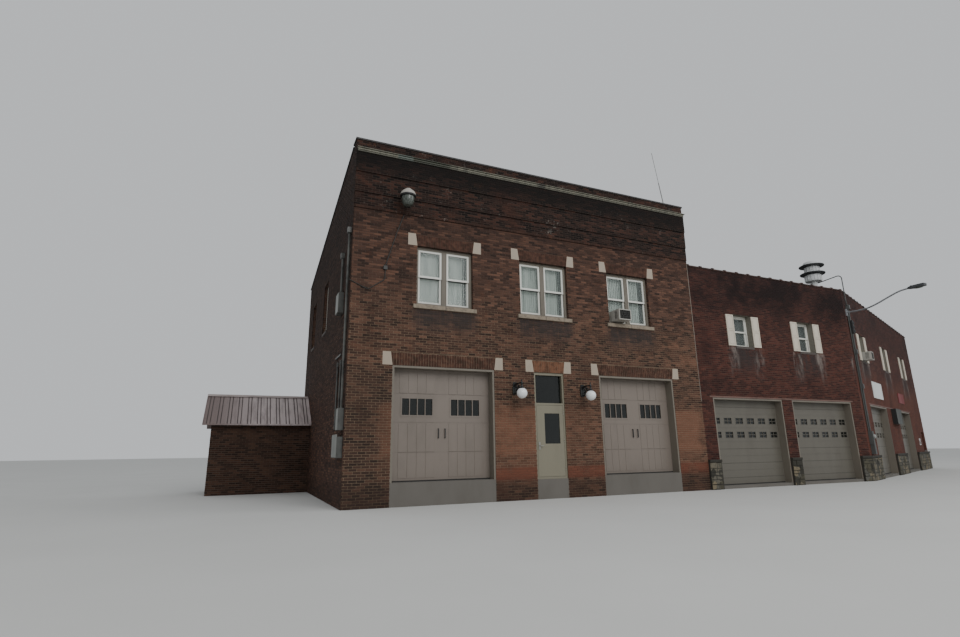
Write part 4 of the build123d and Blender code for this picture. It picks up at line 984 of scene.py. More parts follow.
class STATION_OT_arches(StationStep):
    """Model the soldier bricks of the flat arches, the bricks on edge along the frieze's steps, and the cornice"""

    bl_idname = "station.arches"
    bl_label = "Arch bricks"

    def build(self, sizes, colours):
        rows = []
        openings = [(-3.375, 3.05, ARCH_HEAD), (3.375, 3.05, ARCH_HEAD), (0, 1.05, ARCH_HEAD)]
        openings += [(centre, 1.745, UPPER[1]) for centre in PAIRED]
        for centre, width, head in openings:
            count = round(width / (sizes.course_height + 0.004))
            pitch = width / count
            left = centre - width / 2
            low, high = (left + 0.004, -0.004, head), (left + pitch - 0.004, 0.05, head + 0.347)
            row = repeat(block("arch_bricks", low, high, 0.002), in_row(count, pitch))

            # The row fans out towards its head to meet the slanted stones
            fan = (width + 2 * 0.052 - 0.012) / width
            rows.append(shape(
                row, "VERT", lambda vertex: vertex.co.z > head + 0.3, bpy.ops.transform.resize,
                value=(fan, 1, 1), center_override=(centre, 0, head),
            ))
        finish(join("arch_bricks", rows), arch_brick(), "arch_brick", wall=main_face)
        give(bed_mortar(), "flat_arches")

        count = round(2 * SIDE / 0.105)
        pitch = 2 * SIDE / count
        courses = []
        for level, reach in ((8.12, 0.028), (8.60, 0.056), (9.22, 0.084)):
            low, high = (-SIDE + 0.003, -reach - 0.006, level), (-SIDE + pitch - 0.003, 0.0, level + 0.064)
            courses.append(repeat(block("corbel_bricks", low, high, 0.002), in_row(count, pitch)))
        finish(join("corbel_bricks", courses), of_node("frieze"), "main_brick", wall=main_face)

        # Sheet-metal cornice: a bead, a band and a thin lip that turns the far corner
        mouldings = [
            block("cornice", (-6.105, -0.118, 9.832), (6.120, -0.03, 9.866), 0.010, 2),
            block("cornice", (-6.105, -0.128, 9.876), (6.120, -0.03, 9.926), 0.012, 2),
            block("cornice", (-6.120, -0.152, 9.938), (6.168, -0.03, 9.962), 0.005),
        ]
        finish(join("cornice", mouldings), cornice_metal(), "cornice_paint", "cornice", wall=main_face)


class STATION_OT_doors(StationStep):
    """Model the boards of the main doors, the bars and trims of the wing's lites, and the rubber foot seals"""

    bl_idname = "station.doors"
    bl_label = "Doors"

    def build(self, sizes, colours):
        boards = []
        places = [
            (centre + shift, 0, 0) for centre in (-3.375, 3.375) for step in range(4)
            for shift in (step * 0.26, -0.674 - step * 0.26)
        ]
        for low, high in ((0.69, 1.348), (1.372, 2.135), (2.956, 3.56)):
            board = block("door_boards", (0.212, 0.30 - sizes.board_proud, low), (0.462, 0.302, high), 0.0035)
            boards.append(repeat(board, places))
        finish(join("door_boards", boards), of_node("garage_doors"), "garage_door_paint", wall=main_face)

        # A bar cross and a raised rim in each lite of the wing's doors
        opening, spare, margin, lite_width = 3.01, 0.063, 0.153, 0.36
        section = (opening - spare) / 6
        # Darker paint on the pressed lines stands in for the shade in their grooves
        pressed = painted("swage_shadow_paint", "4C4942", 0.5, "3A3832", 0.4)
        for wall, end, width, starts in (
            (wing_face, "wing", WING_DOOR_WIDTH, WING_DOORS),
            (angled_face, "angled", ANGLED_DOOR_WIDTH, ANGLED_DOORS),
        ):
            name = "lite_bars_" + end
            pitch = (width - 2 * margin - lite_width) / 5
            lite = join(name, [
                block(name, low, high, 0.002) for low, high in (
                    ((0.171, 0.284, -0.1025), (0.189, 0.304, 0.1025)),
                    ((0, 0.284, -0.009), (lite_width, 0.304, 0.009)),
                    ((-0.022, 0.275, -0.1245), (0.382, 0.282, -0.1025)),
                    ((-0.022, 0.275, 0.1025), (0.382, 0.282, 0.1245)),
                    ((-0.022, 0.275, -0.1025), (0, 0.282, 0.1025)),
                    ((lite_width, 0.275, -0.1025), (0.382, 0.282, 0.1025)),
                )
            ])
            places = [
                (start + margin + step * pitch, 0, WING_FLOOR + (row + 0.5) * section)
                for start in starts for row in (3, 4) for step in range(6)
            ]
            finish(repeat(lite, places), of_node("wing_doors"), "wing_door_paint", wall=wall)

            # Pressed lines across the middle of the plain sections, painted darker as the shade in grooves
            swage = block("door_swages_" + end, (0.07, 0.276, -0.009), (width - 0.07, 0.282, 0.009), 0.002)
            rows = [(start, 0, WING_FLOOR + (row + 0.5) * section) for start in starts for row in (0, 1, 2, 5)]
            finish(repeat(swage, rows), pressed, "wing_door_paint", wall=wall)

        seals, edge = [], 0.065
        for wall, starts, width, foot, setback in (
            (main_face, (-4.9, 1.85), 3.05, MAIN_FLOOR, 0.30),
            (wing_face, WING_DOORS, WING_DOOR_WIDTH, WING_FLOOR, 0.28),
            (angled_face, ANGLED_DOORS, ANGLED_DOOR_WIDTH, WING_FLOOR, 0.28),
        ):
            for start in starts:
                low = (start + edge, setback - 0.006, foot)
                high = (start + width - edge, setback + 0.002, foot + 0.035)
                seals.append(moved(block("door_seals", low, high, 0.003), wall))
        finish(join("door_seals", seals), painted("seal_rubber", "242322", 0.7), "black_iron")


class STATION_OT_windows(StationStep):
    """Model the vertical blinds, dark panels painted as the shade of the rooms, the fluted casings and the shutters'
    raised fields
    """

    bl_idname = "station.windows"
    bl_label = "Windows"

    def build(self, sizes, colours):
        chance = random.Random(7)
        slats = []
        half = sizes.slat_width / 2
        for centre in PAIRED:
            for sash in SASH_STARTS:
                start = centre + sash
                place = start + 0.01
                while place < start + 0.70:
                    turn = 18 + chance.uniform(-5, 5)
                    if sash > 0 and place > start + 0.52:
                        turn += 30
                    slat = block("blind_slats", (-half, -0.001, 5.50), (half, 0.001, 7.16))
                    slats.append(moved(slat, at(place + 0.02, 0.29, turn=turn)))
                    place += sizes.slat_width * 0.81
        rail = block("blind_rail", (-0.80, 0.26, 7.165), (0.80, 0.32, 7.205), 0.004)
        slats.append(repeat(rail, [(centre, 0, 0) for centre in PAIRED]))
        # Woven fabric slats: matt, pale grey-green, faintly ribbed
        cloth = mottled(
            "blind_fabric", "C6D0C8", "A3AFA6", (2.2, 4, 0.55, (4, 4, 0.4)), (0.35, 0.7),
            ((250, 2, 0.55, (1, 1, 4)), 0.0006, 0.5), Roughness=0.9,
        )
        finish(join("vertical_blinds", slats), cloth, "white_paint", wall=main_face)

        # A dark strip under each meeting rail of the street windows is painted shadow
        middle = sum(UPPER) / 2
        gap = block("sash_gap_shadows", (0.060, 0.132, middle - 0.056), (0.6625, 0.166, middle - 0.032))
        gaps = repeat(gap, [(centre + sash, 0, 0) for centre in PAIRED for sash in SASH_STARTS])
        finish(gaps, painted("sash_gap_shadow", "1A1C1B", 0.8), "black_iron", wall=main_face)

        # Dark panels behind the plain windows are painted shade of the unlit rooms
        panels = []
        upper, wing = (*UPPER, 0.215, 0.43), (*WING_UPPER, 0.335, 0.43)
        for wall, centres, (foot, head, back, half) in (
            (left_face, (-4.75, -7.9), upper), (at(0, REAR, turn=180), (3.38, 0.04, -3.30), upper),
            (wing_face, WING_WINDOWS, wing), (angled_face, ANGLED_WINDOWS, wing),
            (at(0, FRONT + WING_DEPTH, turn=180), (-8.025, -11.325), wing),
            (angled_face @ at(0, WING_DEPTH, turn=180), (-3.8, -8.3, -12.8), wing), (end_face, (2.9, 6.1), wing),
            (angled_face, (14.8,), (1.07, 2.10, 0.335, 0.355)),
        ):
            for centre in centres:
                low, high = (centre - half, back, foot + 0.045), (centre + half, back + 0.006, head - 0.045)
                panels.append(moved(block("room_shadow_panels", low, high), wall))
        shade = painted("painted_room_shadow", "0F1213", 0.9, "08090A", 0.6)
        finish(join("room_shadow_panels", panels), shade, "black_iron")

        # Fluted fillets on the casing of each paired window
        fillets = [
            block("casing_fillets", (offset, 0.100, 5.46), (offset + width, 0.112, 7.20), 0.004)
            for offset, width in ((-0.872, 0.03), (0.842, 0.03), (-0.060, 0.022), (-0.011, 0.022), (0.038, 0.022))
        ]
        fillets.append(block("casing_fillets", (-0.842, 0.100, 7.165), (0.842, 0.112, 7.195), 0.004))
        casings = repeat(join("casing_fillets", fillets), [(centre, 0, 0) for centre in PAIRED])
        finish(casings, of_node("main_window_frames"), "lining_paint", wall=main_face)

        # Raised fields in the shutters' recesses
        foot, high, rail = WING_UPPER[0], 1.19, 0.045
        panel = (high - 3 * rail) / 2
        for wall, end, centres in ((wing_face, "wing", WING_WINDOWS), (angled_face, "angled", ANGLED_WINDOWS)):
            field = block("shutter_fields_" + end, (0.020, -0.033, 0.025), (0.26, -0.022, panel - 0.025), 0.006, 2)
            places = [
                (centre + side + rail, 0, level) for centre in centres for side in (-0.845, 0.475)
                for level in (foot + rail, foot + high - rail - panel)
            ]
            finish(repeat(field, places), of_node("shutters"), "shutter_plastic", wall=wall)


class STATION_OT_stonework(StationStep):
    """Model the rubble stones of the pier bases and the slabs of their cap course"""

    bl_idname = "station.stonework"
    bl_label = "Stonework"

    def build(self, sizes, colours):
        chance = random.Random(11)
        cap_foot, joint = 0.892, 0.020
        stones, slabs = [], []
        for wall, start, end in (
            (wing_face, 0.0, 0.55), (wing_face, 4.07, 4.61), (wing_face, 8.13, 8.76), (angled_face, 0.01, 1.8),
            (angled_face, 5.4, 8.1), (angled_face, 11.7, 15.67), (end_face, 0.0, 9.0),
        ):
            level = 0.012
            while level < 0.88:
                high = min(level + chance.uniform(0.11, 0.22), cap_foot)
                if cap_foot - high < 0.08:
                    high = cap_foot
                place = start + 0.006
                while place < end - 0.02:
                    right = place + chance.uniform(0.16, 0.42)
                    if end - right < 0.12:
                        right = end - 0.006
                    proud = chance.uniform(0.072, 0.092)
                    low_corner, high_corner = (place, -proud, level), (right - joint, -0.05, high - joint)
                    rough = block("rubble_stones", low_corner, high_corner, 0.020, 2)
                    for vertex in rough.data.vertices:
                        x, y, z = chance.uniform(-1, 1), chance.uniform(-0.6, 0.6), chance.uniform(-1, 1)
                        vertex.co += Vector((x, y, z)) * 0.011
                    stones.append(moved(rough, wall))
                    place = right
                level = high
            place = start
            while place < end - 0.02:
                right = place + chance.uniform(0.45, 0.8)
                if end - right < 0.25:
                    right = end
                slab = block("cap_slabs", (place + 0.003, -0.098, 0.902), (right - 0.003, 0.0, BASE_TOP), 0.008)
                slabs.append(moved(slab, wall))
                place = right
        finish(join("rubble_stones", stones), fieldstone(), "rubble_stone")
        # Sawn pinkish sandstone slabs, brown with weather
        sandstone = mottled(
            "pink_cap_sandstone", "6C5449", "42352D", (8, 6, 0.7), (0.4, 0.7), ((60, 5, 0.7), 0.004, 0.6),
            Roughness=0.88,
        )
        finish(join("cap_slabs", slabs), sandstone, "rubble_stone")


class STATION_OT_coping(StationStep):
    """Model the wing's clay coping tiles, each with a raised collar"""

    bl_idname = "station.coping"
    bl_label = "Coping"

    def build(self, sizes, colours):
        body = block("coping_tiles", (0.002, -0.035, WING_TOP), (sizes.tile_length - 0.002, 0.365, 7.985))

        def is_shoulder(edge):
            ends = [body.data.vertices[place].co for place in edge.vertices]
            return all(end.z > 7.98 for end in ends) and abs(ends[0].x - ends[1].x) > 0.1

        shape(body, "EDGE", is_shoulder, bpy.ops.mesh.bevel, offset=0.05, segments=4, affect="EDGES")
        swell = Matrix.Diagonal((0.14, 1.05, 1.55, 1))
        collar = copied(body, at(0, 0.165, WING_TOP) @ swell @ at(0, -0.165, -WING_TOP))
        tile = join("coping_tiles", [body, collar])

        # Rows along the street and along the rear, which meet at the mitre, and a row across the far end
        inner, bend, far = 8.67, 8.75, 15.62
        pieces = []
        for wall, start, end in (
            (wing_face, 0.003, bend), (angled_face, 0.01, far),
            (wing_face @ at(0, inner), 0.003, bend - MITRE * inner),
            (angled_face @ at(0, inner), MITRE * inner, far),
            (angled_face @ at(15.27 + 0.33, 0.37, turn=90), 0, 8.29),
        ):
            count = round((end - start) / sizes.tile_length)
            fit = (end - start) / count / sizes.tile_length
            for step in range(count):
                place = at(start + step * sizes.tile_length * fit) @ Matrix.Diagonal((fit, 1, 1, 1))
                pieces.append(copied(tile, wall @ place))
        bpy.data.objects.remove(tile)
        finish(join("coping_tiles", pieces), glazed_clay(), "clay_tile", "wing_coping")


class STATION_OT_roof(StationStep):
    """Model the low ribs of the annex roof and its folded ridge cap"""

    bl_idname = "station.roof"
    bl_label = "Annex roof"

    def build(self, sizes, colours):
        width, ribs = 3.58, 11
        pitch = width / ribs
        tilt = Matrix.Rotation(math.atan2(ANNEX_RISE, ANNEX_RUN), 4, "X")
        rib = block("roof_low_ribs", (-0.015, 0.004, -0.006), (0.015, 2.00, 0.012), 0.004)
        places = []
        for step in range(3 * ribs):
            x = -9.72 + (step + 1) * pitch / 3
            if step % 3 != 2 and x < -6.16:
                places += [at(x, 1.895, 2.4066) @ tilt, at(x, 5.205, 2.4066, 180) @ tilt]
        # The low ribs are painted dark as the shade on rib sides turned away from the light
        rib_shade = painted("rib_shadow_paint", "4A3E3B", 0.6, "2E2624", 0.5)
        finish(repeat(rib, places), rib_shade, "annex_roof_metal")
        cap = block("ridge_cap", (-9.733, -0.15, 0.019), (-6.127, 0.006, 0.027), 0.002)
        halves = [at(0, ANNEX_MIDDLE, 3.55) @ tilt, at(-15.86, ANNEX_MIDDLE, 3.55, 180) @ tilt]
        paint = painted("ridge_cap_paint", "A39692", 0.45, "6A5E5C", 0.4)
        finish(repeat(cap, halves), paint, "annex_roof_metal")


class STATION_OT_lamps(StationStep):
    """Model the globe lamps, the flood lamp and the street lamp"""

    bl_idname = "station.lamps"
    bl_label = "Lamps"

    def build(self, sizes, colours):
        iron = painted("cast_iron_enamel", "1C1D1D", 0.38, "34322E", 0.35)
        # Blown opal glass: white all through, with a soft gloss and faint dust towards the foot
        opal = mottled(
            "blown_opal_glass", "E9EAEC", "C9C8C4", (14, 5), (0.45, 0.8, 0.5), ((40, 2), 0.0004, 0.3),
            Roughness=0.16, IOR=1.5, Coat_Weight=0.3,
        )
        self.globe_lamps(opal, iron)
        self.flood_lamp(iron)
        self.street_lamp()

    def globe_lamps(self, opal, iron):
        """Opal globes under turned caps, hung from scrolled brackets"""
        globes, brackets = [], []
        ball = [(0.155 * math.cos(math.radians(a)), 0.155 * math.sin(math.radians(a))) for a in range(-88, 71, 8)]
        cap = (
            (0.062, 0.135), (0.078, 0.140), (0.081, 0.150), (0.076, 0.160), (0.052, 0.170), (0.036, 0.190),
            (0.024, 0.215), (0.024, 0.270), (0.034, 0.290), (0.034, 0.305), (0.020, 0.330), (0.014, 0.350),
            (0.024, 0.366), (0.020, 0.384), (0.004, 0.398),
        )
        bars = (
            ("lamp_arm", 0.016, ((-0.02, 3.29), (-0.25, 3.29), (-0.45, 3.29))),
            ("lamp_scroll", 0.018, (
                (-0.02, 3.02), (-0.09, 3.00), (-0.16, 3.05), (-0.19, 3.14), (-0.25, 3.21), (-0.33, 3.20),
                (-0.33, 3.14), (-0.28, 3.13), (-0.27, 3.17),
            )),
            ("lamp_scroll", 0.017, (
                (-0.02, 3.20), (-0.07, 3.26), (-0.13, 3.24), (-0.14, 3.18), (-0.10, 3.16), (-0.08, 3.19),
            )),
            ("lamp_scroll", 0.016, (
                (-0.10, 3.27), (-0.20, 3.27), (-0.25, 3.24), (-0.21, 3.17), (-0.16, 3.12), (-0.08, 3.08),
            )),
        )
        for x in (-1.19, 1.19):
            centre = (x, -0.45, 2.98)
            globes.append(turned("lamp_globes", centre, ball, 40, 60))
            brackets.append(turned("lamp_cap", centre, cap))
            brackets.append(framed("lamp_plate", (x - 0.07, 2.97), (x + 0.07, 3.35), 0.025, 0.016, 0.006))
            brackets += [rod(name, [(x, *point) for point in points], radius) for name, radius, points in bars]
            brackets.append(framed("lamp_mask", (x - 0.085, 3.00), (x + 0.085, 3.20), 0.045, 0.022, -0.012))
            boss = ((0.045, 0), (0.045, 0.012), (0.030, 0.026), (0.018, 0.045))
            brackets.append(turned_forward("lamp_boss", (x, -0.02, 3.29), boss))
        finish(join("lamp_globes", globes), opal, "opal_glass", "lamp_globes", wall=main_face)
        finish(join("lamp_brackets", brackets), iron, "black_iron", "lamp_brackets", wall=main_face)

    def flood_lamp(self, iron):
        """Spun hood, dark rim, ribbed glass bowl and a straight arm on a bolted plate"""
        x, level = -4.675, 8.68
        centre = (x, -0.40, 8.55)
        hood = turned("flood_hood", centre, (
            (0.150, 0.000), (0.222, 0.000), (0.226, 0.012), (0.214, 0.055), (0.190, 0.098), (0.152, 0.132),
            (0.105, 0.150), (0.092, 0.158), (0.090, 0.190), (0.060, 0.200), (0.010, 0.202),
        ), 48)
        rim = turned("flood_rim", centre, (
            (0.150, -0.052), (0.212, -0.052), (0.228, -0.036), (0.230, -0.010), (0.222, 0.001), (0.150, 0.001),
        ), 48)
        bowl = turned("flood_bowl", centre, (
            (0.040, -0.330), (0.092, -0.324), (0.130, -0.300), (0.160, -0.245), (0.178, -0.165),
            (0.184, -0.090), (0.182, -0.043),
        ), 48)
        arm = rod("flood_arm", ((x, -0.06, level), (x, -0.22, level), (x, -0.36, level)), 0.024, 4)
        plate = framed("flood_plate", (-4.735, 8.62), (-4.615, 8.74), 0.020, 0.014, 0.005)
        moved(plate, at(0, -0.056))
        collar = turned_forward("flood_collar", (x, -0.07, level), ((0.040, 0), (0.040, 0.014), (0.030, 0.030)))
        shell = painted("spun_aluminium_paint", "A9A49C", 0.45, "6E6A62", 0.35)
        finish(hood, shell, "siren_paint", "flood_lamp", wall=main_face)
        finish(join("flood_frame", [rim, arm, plate, collar]), iron, "black_iron", wall=main_face)
        finish(bowl, ribbed_glass(), "opal_glass", wall=main_face)

    def street_lamp(self):
        """A rising arm and a long head with its lens below"""
        wall = Matrix.Translation(angled_face @ Vector((0.32, 0, 0)))
        steel = painted("galvanised_tube", "85878A", 0.42, "5A5A58", 0.3)
        arm = rod("street_arm", (
            (0, -0.05, 7.0), (0, -0.60, 6.96), (0, -1.10, 7.00), (0, -2.05, 7.34), (0, -2.36, 7.39), (0, -2.62, 7.39),
        ), 0.032, 4)
        bracket = moved(framed("street_plate", (-0.07, 6.85), (0.07, 7.15), 0.06, 0.016, 0.008), at(turn=BEND))
        finish(join("street_arm", [arm, bracket]), steel, "galvanised_steel", "street_lamp", wall=wall)
        head = block("street_head", (-0.11, -3.12, 7.335), (0.11, -2.50, 7.455))
        pick(head)
        bpy.ops.object.mode_set(mode="EDIT")
        bpy.ops.mesh.select_all(action="SELECT")
        bpy.ops.mesh.subdivide(number_cuts=3)
        bpy.ops.mesh.select_all(action="DESELECT")
        bpy.ops.object.mode_set(mode="OBJECT")
        for vertex in head.data.vertices:
            vertex.select = vertex.co.y > -2.6
        bpy.ops.object.mode_set(mode="EDIT")
        bpy.ops.transform.resize(value=(0.45, 1, 0.6), center_override=(0, -2.5, 7.39))
        bpy.ops.object.mode_set(mode="OBJECT")
        round_off = head.modifiers.new("round", "SUBSURF")
        round_off.levels = round_off.render_levels = 2
        bpy.ops.object.modifier_apply(modifier=round_off.name)
        bpy.ops.object.shade_smooth_by_angle(angle=math.radians(50))
        eye = turned(
            "street_eye", (0, -2.62, 7.43),
            ((0.030, 0), (0.034, 0.006), (0.034, 0.040), (0.028, 0.050), (0.006, 0.054)),
        )
        finish(join("street_head", [head, eye]), painted("lamp_head_enamel", "3E4144", 0.4), "black_iron", wall=wall)
        lens = turned("street_lens", (0, 0, 0), ((0.020, -0.050), (0.060, -0.042), (0.085, -0.022), (0.090, 0.0)))
        moved(lens, at(0, -2.88, 7.345) @ Matrix.Diagonal((0.95, 2.0, 1, 1)))
        finish(lens, ribbed_glass(), "opal_glass", wall=wall)


class STATION_OT_siren(StationStep):
    """Model the siren: two horns, the drums between them with their ribs, and the pedestal"""

    bl_idname = "station.siren"
    bl_label = "Siren"

    def build(self, sizes, colours):
        centre = angled_face @ Vector((0.41, 1.02, 0))
        drums = [
            turned("siren_drums", centre, outline, 48) for outline in (
                (
                    (0.300, 7.50), (0.300, 7.52), (0.285, 7.55), (0.150, 7.56), (0.130, 7.60), (0.130, 8.62),
                    (0.200, 8.67), (0.322, 8.67), (0.330, 8.69), (0.330, 8.93), (0.322, 8.96), (0.280, 8.98),
                ),
                (
                    (0.270, 9.02), (0.300, 9.05), (0.302, 9.17), (0.312, 9.18), (0.312, 9.20), (0.302, 9.21),
                    (0.300, 9.34), (0.27, 9.37),
                ),
                (
                    (0.300, 9.42), (0.330, 9.44), (0.332, 9.52), (0.322, 9.56), (0.270, 9.60), (0.180, 9.63),
                    (0.060, 9.648), (0.010, 9.65),
                ),
            )
        ]
        spots = [at(*centre, turn=step * 22.5) for step in range(16)]
        rib = block("siren_ribs", (0.318, -0.012, 8.70), (0.352, 0.012, 8.92), 0.004)
        upper = block("siren_ribs", (0.294, -0.010, 9.06), (0.322, 0.010, 9.33), 0.004)
        drums += [repeat(rib, spots), repeat(upper, spots)]
        light = painted("siren_enamel", "C6C8C8", 0.38, "7A7A74", 0.3)
        finish(join("siren_drums", drums), light, "siren_paint", "siren")
        flare = (
            (0.250, -0.055), (0.440, -0.052), (0.500, -0.040), (0.512, -0.022), (0.508, -0.004), (0.470, -0.004),
            (0.400, 0.008), (0.310, 0.030),
        )
        horns = [
            turned("siren_horns", centre, [(radius, top + rise) for radius, rise in flare], 64)
            for top in (9.05, 9.42)
        ]
        dark = painted("siren_horn_enamel", "2E3032", 0.4, "4A4A48", 0.3)
        finish(join("siren_horns", horns), dark, "black_iron")


class STATION_OT_fittings(StationStep):
    """Model the mast's fittings, the boxes' lids and the coolers' grilles"""

    bl_idname = "station.fittings"
    bl_label = "Fittings"

    def build(self, sizes, colours):
        steel = painted("galvanised_tube_old", "4E504D", 0.5, "32322E", 0.45)
        ring = ((0.037, 0), (0.046, 0.006), (0.046, 0.074), (0.037, 0.08))
        mast = [turned("mast_rings", (0.5, -0.07, level), ring, 24) for level in (2.6, 4.5, 6.0)]
        cap = ((0.037, 0), (0.060, 0.01), (0.072, 0.05), (0.072, 0.12), (0.050, 0.16), (0.012, 0.18))
        mast.append(turned("mast_rings", (0.5, -0.07, 7.20), cap, 24))
        mast.append(rod("mast_rings", [(0.40, -0.035, level) for level in (1.96, 4.5, 7.10)], 0.020))
        mast.append(moved(framed("mast_lids", (0.385, 1.435), (0.615, 1.945), 0.012, 0.020, 0.006), at(0, -0.15)))
        bowl = ((0.085, 0), (0.088, 0.02), (0.080, 0.06), (0.050, 0.075), (0.010, 0.08))
        dial = turned_forward("mast_dial", (0.5, -0.16, 1.74), bowl)
        finish(dial, painted("meter_glass_grey", "9A9C98", 0.3), "galvanised_steel", wall=angled_face)
        finish(join("mast_rings", mast), steel, "galvanised_steel", wall=angled_face)
        fin = ((0.05, 0), (0.085, 0.015), (0.085, 0.10), (0.05, 0.12))
        head = [turned("mast_head", (0.5, -0.12, level), fin, 24) for level in (6.12, 6.30, 6.48)]
        head.append(block("mast_head", (0.42, -0.16, 6.08), (0.58, -0.02, 6.66), 0.012, 2))
        finish(join("mast_head", head), painted("weatherhead_black", "17191A", 0.5), "black_iron", wall=angled_face)

        # Lids with raised edges on the boxes of the left wall: x runs back from the corner as -x
        lids = [
            moved(framed("box_lids", low, high, 0.010, 0.018, 0.005), at(0, -0.152)) for low, high in (
                ((-0.34, 1.95), (-0.06, 2.49)), ((-0.79, 1.265), (-0.06, 1.835)), ((-1.365, 5.265), (-0.935, 5.835)),
            )
        ]
        finish(join("box_lids", lids), painted("meter_box_grey", "8C8E8A", 0.45), "galvanised_steel", wall=left_face)

        # Cooler grilles: upright fins in the recess, louvres in both sides
        grille = painted("cooler_fins", "3A3937", 0.5, "1E1D1B", 0.5)
        for wall, name, left, foot in (
            (main_face, "cooler_grille_main", 2.5775, 5.521), (angled_face, "cooler_grille_angled", 2.01, 5.095),
        ):
            fins = [
                repeat(block(name, (left + x0, y0, foot + z0), (left + x1, y1, foot + z1), bevel), places)
                for (x0, y0, z0), (x1, y1, z1), bevel, places in (
                    ((0.036, -0.345, 0.034), (0.040, -0.322, 0.326), 0.0, in_row(29, 0.0149)),
                    ((0.032, -0.349, 0.04), (0.458, -0.343, 0.046), 0.0, [(0, 0, step * 0.0686) for step in range(5)]),
                    (
                        (-0.004, -0.26, 0.05), (0.004, -0.12, 0.062), 0.002,
                        [(side, 0, step * 0.028) for side in (0, 0.49) for step in range(10)],
                    ),
                )
            ]
            finish(join(name, fins), grille, "cooler_case", wall=wall)


class STATION_OT_signs(StationStep):
    """Model the bare signs, the notice, the box sign, the joint sealant and the steel lintels"""

    bl_idname = "station.signs"
    bl_label = "Signs"

    def build(self, sizes, colours):
        white = painted("sign_board_white", "D2D4D2", 0.4, "8C8C86", 0.25)
        red = painted("sign_board_red", "701D1E", 0.55, "3A1A19", 0.35)
        case = painted("sign_case_enamel", "3B3F3B", 0.45, "262622", 0.35)
        lintel = painted("lintel_steel_paint", "6A4F45", 0.6, "3C2E28", 0.5)
        finish(framed("white_sign", (2.9, 3.47), (4.9, 4.22), 0.03), white, "white_paint", wall=angled_face)
        finish(framed("red_sign", (9.0, 3.54), (10.6, 4.06), 0.03), red, "siren_paint", wall=angled_face)
        finish(framed("white_notice", (13.2, 1.36), (13.65, 1.72), 0.012), white, "white_paint", wall=angled_face)
        box = framed("box_sign", (6.35, 2.39), (7.71, 3.12), 0.21, 0.035, 0.010)
        finish(box, case, "black_iron", wall=angled_face)
        # The box sign's left side is painted near black as its shaded side
        side = block("box_sign_side", (6.345, -0.205, 2.395), (6.353, -0.004, 3.115), 0.002)
        finish(side, painted("sign_side_shade_paint", "181A1A", 0.5), "black_iron", wall=angled_face)
        run = ((6.125, 2.95), (6.118, 3.60), (6.125, 5.4), (6.122, 8.0))
        sealant = rod("joint_sealant", [(x, -0.004, z) for x, z in run], 0.011, 1)
        paste = painted("weathered_joint_sealant", "8E857A", 0.8, "5A5048", 0.5)
        finish(sealant, paste, "lining_paint", wall=main_face)
        for name, wall, left, right in (
            ("steel_lintels", wing_face, 0.40, 8.25), ("angled_lintel", angled_face, 1.65, 11.85),
        ):
            bar = block(name, (left, -0.012, LINTEL_HEAD), (right, 0.0, LINTEL_TOP), 0.003)
            finish(bar, lintel, "lining_paint", wall=wall)


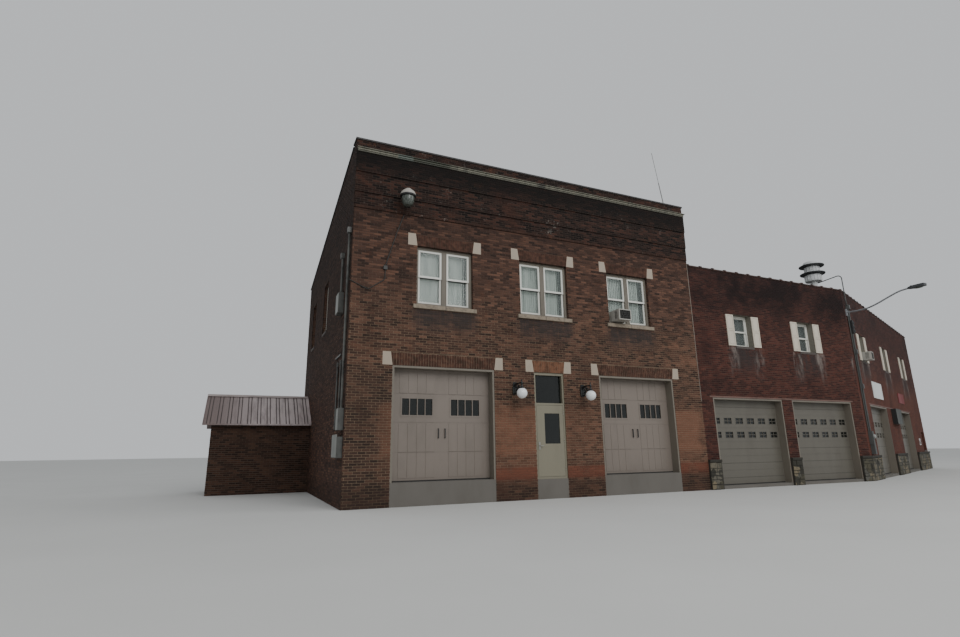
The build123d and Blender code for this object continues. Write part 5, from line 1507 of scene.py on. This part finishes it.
class STATION_OT_stage(StationStep):
    """Set the camera, the soft studio light and the pale floor"""

    bl_idname = "station.stage"
    bl_label = "Stage"

    def execute(self, context):
        scene, collection = context.scene, context.collection
        data = bpy.data.cameras.new("camera")
        data.lens = 20.149
        data.sensor_width = 36
        data.clip_end = 300
        camera = bpy.data.objects.new("camera", data)
        collection.objects.link(camera)
        yaw, pitch, roll = -23.914, 13.755, -0.756
        camera.matrix_world = at(-8.5727, -19.1052, 1.4010, yaw) @ at(turn=90 + pitch, axis="X") @ at(turn=roll)
        scene.camera = camera

        world = bpy.data.worlds.new("overcast_light")
        scene.world = world
        world.use_nodes = True
        backdrop = world.node_tree.nodes["Background"]
        backdrop.inputs["Color"].default_value = srgb("E9ECEF")
        backdrop.inputs["Strength"].default_value = 0.75
        for name, spot, size, power in (
            ("front_light", (2, -36, 24), 22, 6200), ("right_light", (36, -24, 24), 20, 2200),
        ):
            lamp = bpy.data.lights.new(name, "AREA")
            lamp.size = size
            lamp.energy = power
            light = bpy.data.objects.new(name, lamp)
            collection.objects.link(light)
            light.location = spot
            aim = Vector((4, -2, 4)) - Vector(spot)
            light.rotation_euler = aim.to_track_quat("-Z", "Y").to_euler()
        pick()
        bpy.ops.mesh.primitive_plane_add(size=400, location=(0, 0, -0.002))
        floor = context.object
        floor.name = "floor"
        # Matt studio floor, pale grey in faint clouds
        give(mottled("pale_floor", "C9C9C6", "BEBEBB", (0.3, 3), Roughness=0.9), floor)
        return {"FINISHED"}


class STATION_PT_panel(bpy.types.Panel):
    """Steps and settings of the fire station's looks"""

    bl_idname = "STATION_PT_panel"
    bl_label = "Fire Station"
    bl_space_type = "VIEW_3D"
    bl_region_type = "UI"
    bl_category = "Fire Station"

    def draw(self, context):
        for group in (context.scene.station_sizes, context.scene.station_colours):
            for name in group.__annotations__:
                self.layout.prop(group, name)
        for step in steps:
            self.layout.operator(step.bl_idname)


steps = (
    STATION_OT_brickwork, STATION_OT_bricks, STATION_OT_finishes, STATION_OT_arches, STATION_OT_doors,
    STATION_OT_windows, STATION_OT_stonework, STATION_OT_coping, STATION_OT_roof, STATION_OT_lamps,
    STATION_OT_siren, STATION_OT_fittings, STATION_OT_signs, STATION_OT_stage,
)
classes = (StationSizes, StationColours, *steps, STATION_PT_panel)


def register():
    for cls in classes:
        bpy.utils.register_class(cls)
    bpy.types.Scene.station_sizes = bpy.props.PointerProperty(type=StationSizes)
    bpy.types.Scene.station_colours = bpy.props.PointerProperty(type=StationColours)


def unregister():
    del bpy.types.Scene.station_colours
    del bpy.types.Scene.station_sizes
    for cls in reversed(classes):
        bpy.utils.unregister_class(cls)


def main():
    register()
    bpy.ops.station.brickwork()
    bpy.ops.station.bricks()
    bpy.ops.station.finishes()
    bpy.ops.station.arches()
    bpy.ops.station.doors()
    bpy.ops.station.windows()
    bpy.ops.station.stonework()
    bpy.ops.station.coping()
    bpy.ops.station.roof()
    bpy.ops.station.lamps()
    bpy.ops.station.siren()
    bpy.ops.station.fittings()
    bpy.ops.station.signs()
    bpy.ops.station.stage()
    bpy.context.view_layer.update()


if __name__ == "__main__":
    main()
